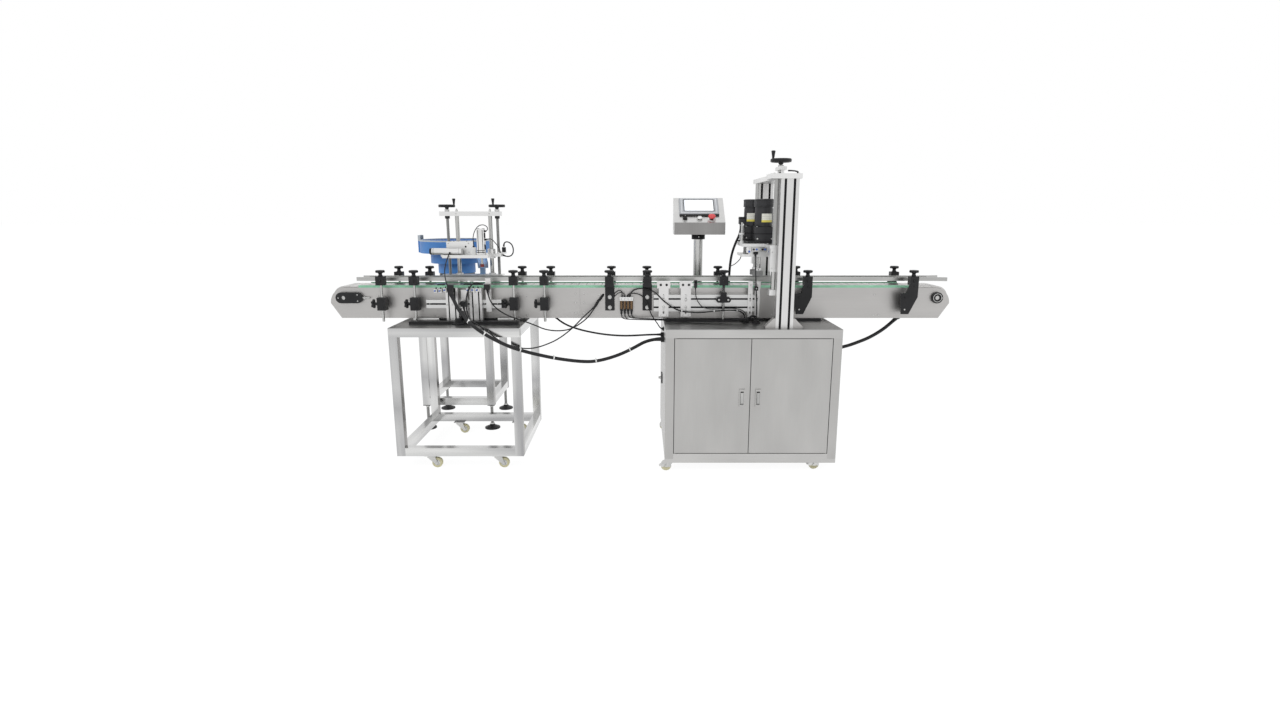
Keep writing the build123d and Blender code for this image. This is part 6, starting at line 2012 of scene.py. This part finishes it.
@dataclass
class CappingHead:
    """The gantry, its lifting screw, and the head with two motors and two cap wheels."""

    column_x: float = 655.0
    columns_y: Span = (-503.0, 97.0)
    columns_z: Span = (681.0, 1339.0)
    gantry_top: float = 1362.0
    screw: Span = (648.0, -330.0)
    cylinders_x: float = 496.0
    spindle_x: float = 573.0
    plate_top: float = 1051.0
    motor_shift: float = 17.0
    motor_reach: float = 58.0
    spindle_reach: float = 43.0

    def gantry_screws(self) -> Shell:
        """Screws in the foot brackets, on the top plate and on the bearing bar, a stop lever, and near-black
        strips of painted shade over the columns' slots.

        Returns:
            The shell, not built yet.
        """
        shell = Shell("gantry_screws")
        for y in self.columns_y:
            for side in (-1, 1):
                for dy in (-8, 8):
                    shell.screws([(self.column_x + side * 61, y + dy, TABLE_Z + 8)], Z, 1, 4.2)
                    shell.screws([(self.column_x + side * 48, y + dy, TABLE_Z + 28)], X, side, 4.2)
        tops = [(x, y, self.gantry_top) for x in (585, 692) for y in (-517, -415)]
        tops += [(x, y, self.gantry_top) for x in (608, 684) for y in (-360, -60, 100)]
        shell.screws(tops, Z, 1, 5)
        shell.screws([(648, y, 1400) for y in (-376, -292)], Z, 1, 6.4)
        shell.rod((690, -500, self.gantry_top), Z, 9, 4, "moulded_black", 16)
        path = np.array([(690, -500, 1370), (676, -503, 1373), (660, -506, 1374), (646, -509, 1374)], float)
        shell.tube(path, np.array([3.4, 3, 3.2, 3.6]), "moulded_black")
        # Thin near-black strips on the columns' faces: painted shade standing for the slots.
        for x in (self.column_x - 20, self.column_x + 20):
            foot, head = self.columns_z
            for y, low in ((-523, foot), (77, 852), (117, foot)):
                shell.slab((x - 5.2, y - 0.5, low), (x + 5.2, y + 0.5, head), "black_and_slot_shade", 0.2)
        return shell

    def lifting_screw(self) -> Shell:
        """The screw of the head with its collars and handwheel.

        Returns:
            The shell, not built yet.
        """
        shell = Shell("head_wheel_screw")
        shell.rod((*self.screw, 1010), Z, 416, 8, "thread", 24)
        for z in (1377, 1400):
            shell.turned(barrel(13, 8, 1, 1), (*self.screw, z), Z, "zinc", 28)
        HandWheel(48.5, 200.0).add(shell, (*self.screw, 1429.0))
        return shell

    def motors(self) -> Shell:
        """The black plate with the two upright gearmotors, their labels and the terminal box.

        Returns:
            The shell, not built yet.
        """
        shell = Shell("head_gearmotors")
        x, y, low = self.spindle_x, LANE_Y, self.plate_top
        shell.slab((x - 64, y - 110, low), (x + 64, y + 110, low + 12), "moulded_black", 1.2)
        places = ((x + self.motor_shift, y - self.motor_reach), (x - self.motor_shift, y + self.motor_reach))
        for mx, my in places:
            GearMotor(66.0, 92.0, 37.0, 47.0).add(shell, (mx, my, low + 12), Z)
            shell.slab((mx - 46, my - 46, low + 44), (mx + 46, my + 46, low + 47), "black_and_slot_shade", 4)
            for dx in (-34, 34):
                shell.screws([(mx + dx, my - 45, low + 22)], Y, -1, 4.6)
        labels = (("front_label", (-112, -40), 1150), ("rear_label", (-140, -70), 1152))
        for place, (finish, turns, z) in zip(places, labels):
            shell.helix((*place, 0), (42.7, 43.5), (z, z), turns, 40, finish, 16)
        shell.slab((488, -161, 1140), (530, -129, 1174), "motor_black", 2)
        shell.slab((487, -162, 1166), (531, -128, 1169), "black_and_slot_shade", 1)
        shell.turned([(9, 0), (9, 4), (7.6, 5), (7.6, 10)], (500, -145, 1141), Z, "moulded_black", 20, -1)
        return shell

    def carriage_details(self) -> Shell:
        """Screws, air cylinders' rods and sleeves, valve blocks and push-in fittings on the head.

        Returns:
            The shell, not built yet.
        """
        shell = Shell("head_fittings")
        port = [(4.6, 0), (4.6, 6), (3.8, 7)]
        for y in (-216, -190):
            x = self.cylinders_x
            for z, height in ((self.plate_top, 10), (1089, 9)):
                shell.collar((x, y, z), Z, 9.9, 11.4, height, "white_plastic")
            shell.rod((x, y, 1098), Z, 50, 3, "screw_steel", 14)
            shell.turned([(5.2, 0), (5.6, 0.6), (5.6, 5), (5.2, 5.6)], (x, y, 1130), Z, "zinc", 6)
            shell.turned(port, (x - 9.5, y, 1060), X, "moulded_black", 14, -1)
        for x in (517, 612):
            shell.slab((x - 12, -317, 1008), (x + 12, -300, 1035), "milled_plate", 1.4)
            shell.screws([(x, -317, 1028)], Y, -1, 3)
            outlet = [(5, 0), (5, 6), (4, 7), (4, 11)]
            shell.turned(outlet, (x, -317, 1014), Y, "fitting_blue", 16, -1)
        shell.slab((530, -318, 1014), (598, -302, 1034), "zinc", 1.6)
        for step, x in enumerate((538, 552, 566, 580, 591)):
            finish = ("moulded_black", "fitting_blue", "screw_steel")[step % 3]
            shell.turned([(5, 0), (5, 5), (4, 6), (4, 10)], (x, -318, 1024), Y, finish, 16, -1)
        shell.slab((541, -312, 1000), (561, -291, 1013), "moulded_black", 1.6)
        for x, y in ((600, -470), (655, -470), (600, 64), (655, 64), (600, -330), (655, -100)):
            shell.screws([(x, y, self.plate_top)], Z, 1, 4.4)
        for y, side in ((-479, -1), (73, 1)):
            shell.screws([(x, y, z) for x in (596, 623) for z in (948, 1020)], Y, side, 3.4)
        shell.screws([(x, -291, 1018) for x in (524, 612)], Y, -1, 3.6)
        return shell

    def cap_wheel(self, name: str, side: float) -> Shell:
        """A spindle with its collar and a grooved rubber tyre.

        Args:
            name: Front or rear.
            side: -1 for the front wheel, 1 for the rear one.

        Returns:
            The shell, not built yet.
        """
        shell = Shell(name + "_rubber_wheel")
        x, y = self.spindle_x, LANE_Y + side * self.spindle_reach
        shell.rod((x, y, 890), Z, 191, 7.5, "bright_rod", 24)
        shell.turned(barrel(14, 12, 1, 1), (x, y, 918), Z, "milled_plate", 28)
        shell.screws([(x, y - 14, 924)], Y, -1, 2.6, "black_and_slot_shade")
        tyre = [(8, 0), (23, 0), (25, 2)]
        for z in (6.5, 11.5, 16.5):
            tyre += [(25, z), (24.2, z + 0.5), (24.2, z + 1.5), (25, z + 2)]
        tyre += [(25, 24), (23, 26), (8, 26)]
        shell.turned(tyre, (x, y, 892), Z, "tyre", 48)
        return shell

    def build(self, shop: Workshop) -> None:
        """Coats the gantry and the head, and replaces the motors, the screw and the wheels.

        Args:
            shop: Where the finishes are and the pieces go.
        """
        slots = []
        # Painted shade: the faces inside the columns' slots are coloured near-black.
        for y in self.columns_y:
            slots.append(("black_and_slot_shade", zone(617, 693, y - 18, y + 18, *self.columns_z)))
        for low, high in ((560, 614.9), (695.1, 760)):
            slots.append(("steel_plate", zone(low, high, z1=730)))
        shop.coat("gantry_columns", "anodised_upright", *slots)
        shop.coat("gantry_top", "milled_plate")
        shop.coat("guide_rods", "bright_rod", ("milled_plate", zone(z1=850.1)))
        cylinders = ("bright_rod", zone(x1=506.5, y0=-227, y1=-179, z0=1051.5))
        shop.coat("head_carriage", "milled_plate", cylinders)
        shop.piece(self.gantry_screws(), "machine", "bright_steel")
        shop.piece(self.lifting_screw(), "head_screw", "zinc_steel", "head_lift_screw")
        shop.piece(self.motors(), "head", "black_metal", "cap_motors")
        shop.piece(self.carriage_details(), "head", "machined_aluminium")
        for name, side in (("front", -1), ("rear", 1)):
            node = name + "_cap_wheel"
            shop.piece(self.cap_wheel(name, side), node, "tyre_rubber", node)


@dataclass
class OperatorPanel:
    """The console on its post, with the screen and three controls on its slope."""

    x: float = 305.0
    y: float = 50.0
    front: float = -40.0
    lip_z: float = 1145.0
    rise: float = 124.0
    run: float = 150.0
    controls: float = 27.0
    stop_x: float = 62.0
    turn_x: float = -75.0
    stem: float = 17.0
    screen: float = 127.0

    def slope(self, name: str) -> Shell:
        """A shell whose own axes are X, up the slope from its front edge, and out of the slope.

        Args:
            name: The piece's name.

        Returns:
            The shell, not built yet.
        """
        length = math.hypot(self.rise, self.run)
        up = np.array([0, self.run / length, self.rise / length])
        out = np.array([0, -up[2], up[1]])
        basis = np.eye(4)
        basis[:3, 1] = up
        basis[:3, 2] = out
        basis[:3, 3] = (0, self.front, self.lip_z)
        return Shell(name, basis)

    def face(self) -> Shell:
        """The lit page, the frames round it, the black strip and the rings of the controls.

        Returns:
            The shell, not built yet.
        """
        shell = self.slope("console_face")
        x, a = self.x, self.screen
        shell.slab((x - 74.6, a - 43.6, 6.45), (x + 74.6, a + 43.6, 7.1), "screen_page", 0.3)
        shell.border((x - 79, a - 48, 7.9), (x + 79, a + 48, 8.35), 3, "moulded_black")
        shell.border((x - 92, 65, 7.9), (x + 92, 180, 8.3), 4, "pale_frame")
        shell.slab((x - 101, 47, 0), (x + 101, 57.4, 6.6), "moulded_black", 1)
        stop = x + self.stop_x
        shell.collar((stop, self.controls, 0), Z, 12.6, 20, 2.4, "white_plastic")
        shell.collar((stop, self.controls, 2.2), Z, 12.6, 15.5, 0.6, "zinc")
        for place in (x, x + self.turn_x):
            shell.collar((place, self.controls, 0), Z, 12.5, 15.4, 2.7, "screw_steel")
        return shell

    def control(self, name: str, offset: float, length: float) -> tuple[Shell, Point]:
        """The shell of a control with its stem through the slope, and its place on the slope.

        Args:
            name: The piece's name.
            offset: Its place along X from the console's middle.
            length: The length of its stem.

        Returns:
            The shell, and the place.
        """
        shell = self.slope(name)
        at = (self.x + offset, self.controls, 0)
        shell.rod((at[0], at[1], -self.stem), Z, length, 7.9, "moulded_black", 24)
        return shell, at

    def stop_button(self) -> Shell:
        """The red mushroom: a waisted neck under a domed head.

        Returns:
            The shell, not built yet.
        """
        shell, at = self.control("stop_mushroom", self.stop_x, 25.6)
        head = [(10.4, 8), (11, 8.6), (12.6, 12), (17, 14.4), (18.8, 15.8), (19, 17.6)]
        head += [(18.2, 19.6), (15, 21.2), (9, 21.9), (3, 22)]
        shell.turned(head, at, Z, "stop_red", 40)
        return shell

    def start_button(self) -> Shell:
        """The start button: a round cap with a raised rim and a hollow face.

        Returns:
            The shell, not built yet.
        """
        shell, at = self.control("start_cap", 0, 24)
        head = [(11.4, 6), (12, 6.8), (12, 10), (11.2, 11), (9.6, 11), (8.8, 10.2), (4, 9.9)]
        shell.turned(head, at, Z, "white_plastic", 36)
        return shell

    def selector(self) -> Shell:
        """The selector: a round base, a grip across it and a white mark on the grip.

        Returns:
            The shell, not built yet.
        """
        shell, at = self.control("selector_grip", self.turn_x, 21)
        shell.turned([(11.6, 3), (12, 3.6), (12, 7.4), (10.6, 9)], at, Z, "moulded_black", 36)
        shell.slab((at[0] - 3, at[1] - 11, 8.5), (at[0] + 3, at[1] + 11, 20), "moulded_black", 1.6)
        shell.slab((at[0] - 0.6, at[1] + 1, 19.7), (at[0] + 0.6, at[1] + 9.6, 20.15), "white_plastic", 0.2)
        return shell

    def post(self) -> Shell:
        """The round post, its foot flange with four screws and the black collar under the box.

        Returns:
            The shell, not built yet.
        """
        shell = Shell("console_post")
        shell.rod((self.x, self.y, 687), Z, 372, 24, "bright_rod", 48)
        flange = [(49.2, 0), (50, 0.8), (50, 7.2), (49.2, 8), (27, 8), (25.4, 9.8), (24.2, 12)]
        shell.turned(flange, (self.x, self.y, TABLE_Z), Z, "bright_bar", 48)
        collar = [(33.6, 0), (35, 1.4), (35, 24.6), (34, 26)]
        shell.turned(collar, (self.x, self.y, 1058), Z, "moulded_black", 48)
        shell.screws([(self.x, self.y - 35, 1071)], Y, -1, 3.2, "zinc")
        around = [(self.x + dx, self.y + dy, TABLE_Z + 8) for dx in (-27, 27) for dy in (-27, 27)]
        shell.screws(around, Z, 1, 4.6)
        return shell

    def box_details(self) -> Shell:
        """Screws on the back of the box, and a vent of short slats on each side.

        Returns:
            The shell, not built yet.
        """
        shell = Shell("console_screws")
        shell.screws([(x, 110, z) for x in (190, 420) for z in (1100, 1250)], Y, 1, 3.6)
        for x, side in ((175, -1), (435, 1)):
            for step in range(5):
                z = 1110 + 7 * step
                reach = sorted((x - side * 0.6, x + side * 0.9))
                # The slats take the painted shade copy of the console's steel.
                shell.slab((reach[0], 40, z), (reach[1], 86, z + 2.6), "console_painted_shade", 0.5)
        return shell

    def build(self, shop: Workshop) -> None:
        """Coats the console and adds its face, controls and post.

        Args:
            shop: Where the finishes are and the pieces go.
        """
        # One steel box: the front and the foot take the painted shade copy, the rest the painted light copy.
        front = ("console_painted_shade", zone(y1=-39.9))
        shop.coat("control_box", "console_painted_light", front, ("console_painted_shade", zone(z1=1084.2)))
        shop.coat("touch_screen", "grey_bezel")
        shop.piece(self.face(), "machine", "grey_plastic")
        shop.piece(self.stop_button(), "emergency_stop", "red_plastic", "emergency_stop")
        shop.piece(self.start_button(), "push_button", "cream_plastic", "push_button")
        shop.piece(self.selector(), "selector", "black_plastic", "selector_switch")
        shop.piece(self.post(), "machine", "bright_steel", "panel_post")
        shop.piece(self.box_details(), "machine", "satin_steel")


# Studio


@dataclass
class Studio:
    """A pale floor, soft lamps and a white background."""

    white: float = 1.13
    share: float = 0.82
    size: float = 60.0
    level: float = -0.0006
    sky: Point = (0.94, 0.96, 1.0)
    sky_strength: float = 0.55
    aim: Point = (0.0, -0.1, 0.7)

    def floor(self) -> None:
        """A pale floor that keeps the shadow and goes to white for the camera."""
        mesh = bpy.data.meshes.new("studio_floor")
        s, z = self.size, self.level
        mesh.from_pydata([(-s, -s, z), (s, -s, z), (s, s, z), (-s, s, z)], [], [(0, 1, 2, 3)])
        graph = Graph("studio_floor")
        pale = graph.node("ShaderNodeBsdfDiffuse", {}, {"Color": (0.86, 0.86, 0.86)})
        glow = graph.node("ShaderNodeEmission", {}, {"Color": (1.0, 1.0, 1.0), "Strength": self.white})
        share = graph.seen() * self.share
        mesh.materials.append(graph.end(graph.node("ShaderNodeMixShader", {}, {0: share, 1: pale, 2: glow})))
        placed("studio_floor", mesh)

    def world(self) -> None:
        """A dim grey world for diffuse light, white to the camera and to reflections."""
        graph = Graph("studio", True)
        sky = {"Color": self.sky, "Strength": self.sky_strength}
        soft = graph.node("ShaderNodeBackground", {}, sky)
        white = graph.node("ShaderNodeBackground", {}, {"Color": (1.0, 1.0, 1.0), "Strength": 1.0})
        mixed = graph.node("ShaderNodeMixShader", {}, {0: graph.seen(), 1: soft, 2: white})
        bpy.context.scene.world = graph.end(mixed)

    def lamp(self, name: str, place: Point, size: float, power: float) -> None:
        """One square lamp that faces the machine's middle.

        Args:
            name: The lamp's name.
            place: Where it stands, in metres.
            size: The length of its side.
            power: Its power in watts.
        """
        light = bpy.data.lights.new(name, "AREA")
        light.size = size
        light.energy = power
        made = placed(name, light)
        made.visible_glossy = False
        made.location = place
        aim = Vector(self.aim) - Vector(place)
        made.rotation_euler = aim.to_track_quat("-Z", "Y").to_euler()

    def build(self) -> None:
        """Floor, world and three lamps."""
        self.floor()
        self.world()
        self.lamp("key_lamp", (-2.6, -3.6, 3.4), 2.4, 75.0)
        self.lamp("fill_lamp", (3.4, -3.0, 2.2), 2.6, 38.0)
        self.lamp("top_lamp", (0.2, 0.6, 4.2), 3.0, 60.0)


@dataclass
class Viewpoint:
    """The camera at the photograph's place."""

    height: float = 1.199
    back: float = -3.630
    pitch: float = -12.1
    focal_pixels: float = 692.0
    photo_width: float = 1280.0
    sensor: float = 36.0
    far: float = 200.0

    def build(self) -> None:
        """Makes the camera and gives it to the scene."""
        camera = bpy.data.cameras.new("camera")
        camera.sensor_width = self.sensor
        camera.lens = self.focal_pixels * self.sensor / self.photo_width
        camera.clip_end = self.far
        made = placed("camera", camera)
        made.location = (0.0, self.back, self.height)
        made.rotation_euler = (math.radians(90.0 + self.pitch), 0.0, 0.0)
        bpy.context.scene.camera = made


def main() -> None:
    """Loads the frame, builds the camera, the cables and each sub-assembly, and sets the studio."""
    logging.basicConfig(level=logging.INFO, format="%(message)s")
    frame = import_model()
    bpy.context.scene.view_settings.view_transform = "Standard"
    Viewpoint().build()
    shop = Workshop(frame)
    sections = (
        Cables(),
        SlatConveyor(),
        GuideRails(),
        SensorBars(),
        Cabinet(),
        RollingCart(),
        BowlStand(),
        CapBowl(),
        CapFeeder(),
        CappingHead(),
        OperatorPanel(),
    )
    for section in sections:
        section.build(shop)
        log.info("section %s", type(section).__name__)
    Studio().build()
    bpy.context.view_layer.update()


if __name__ == "__main__":
    main()
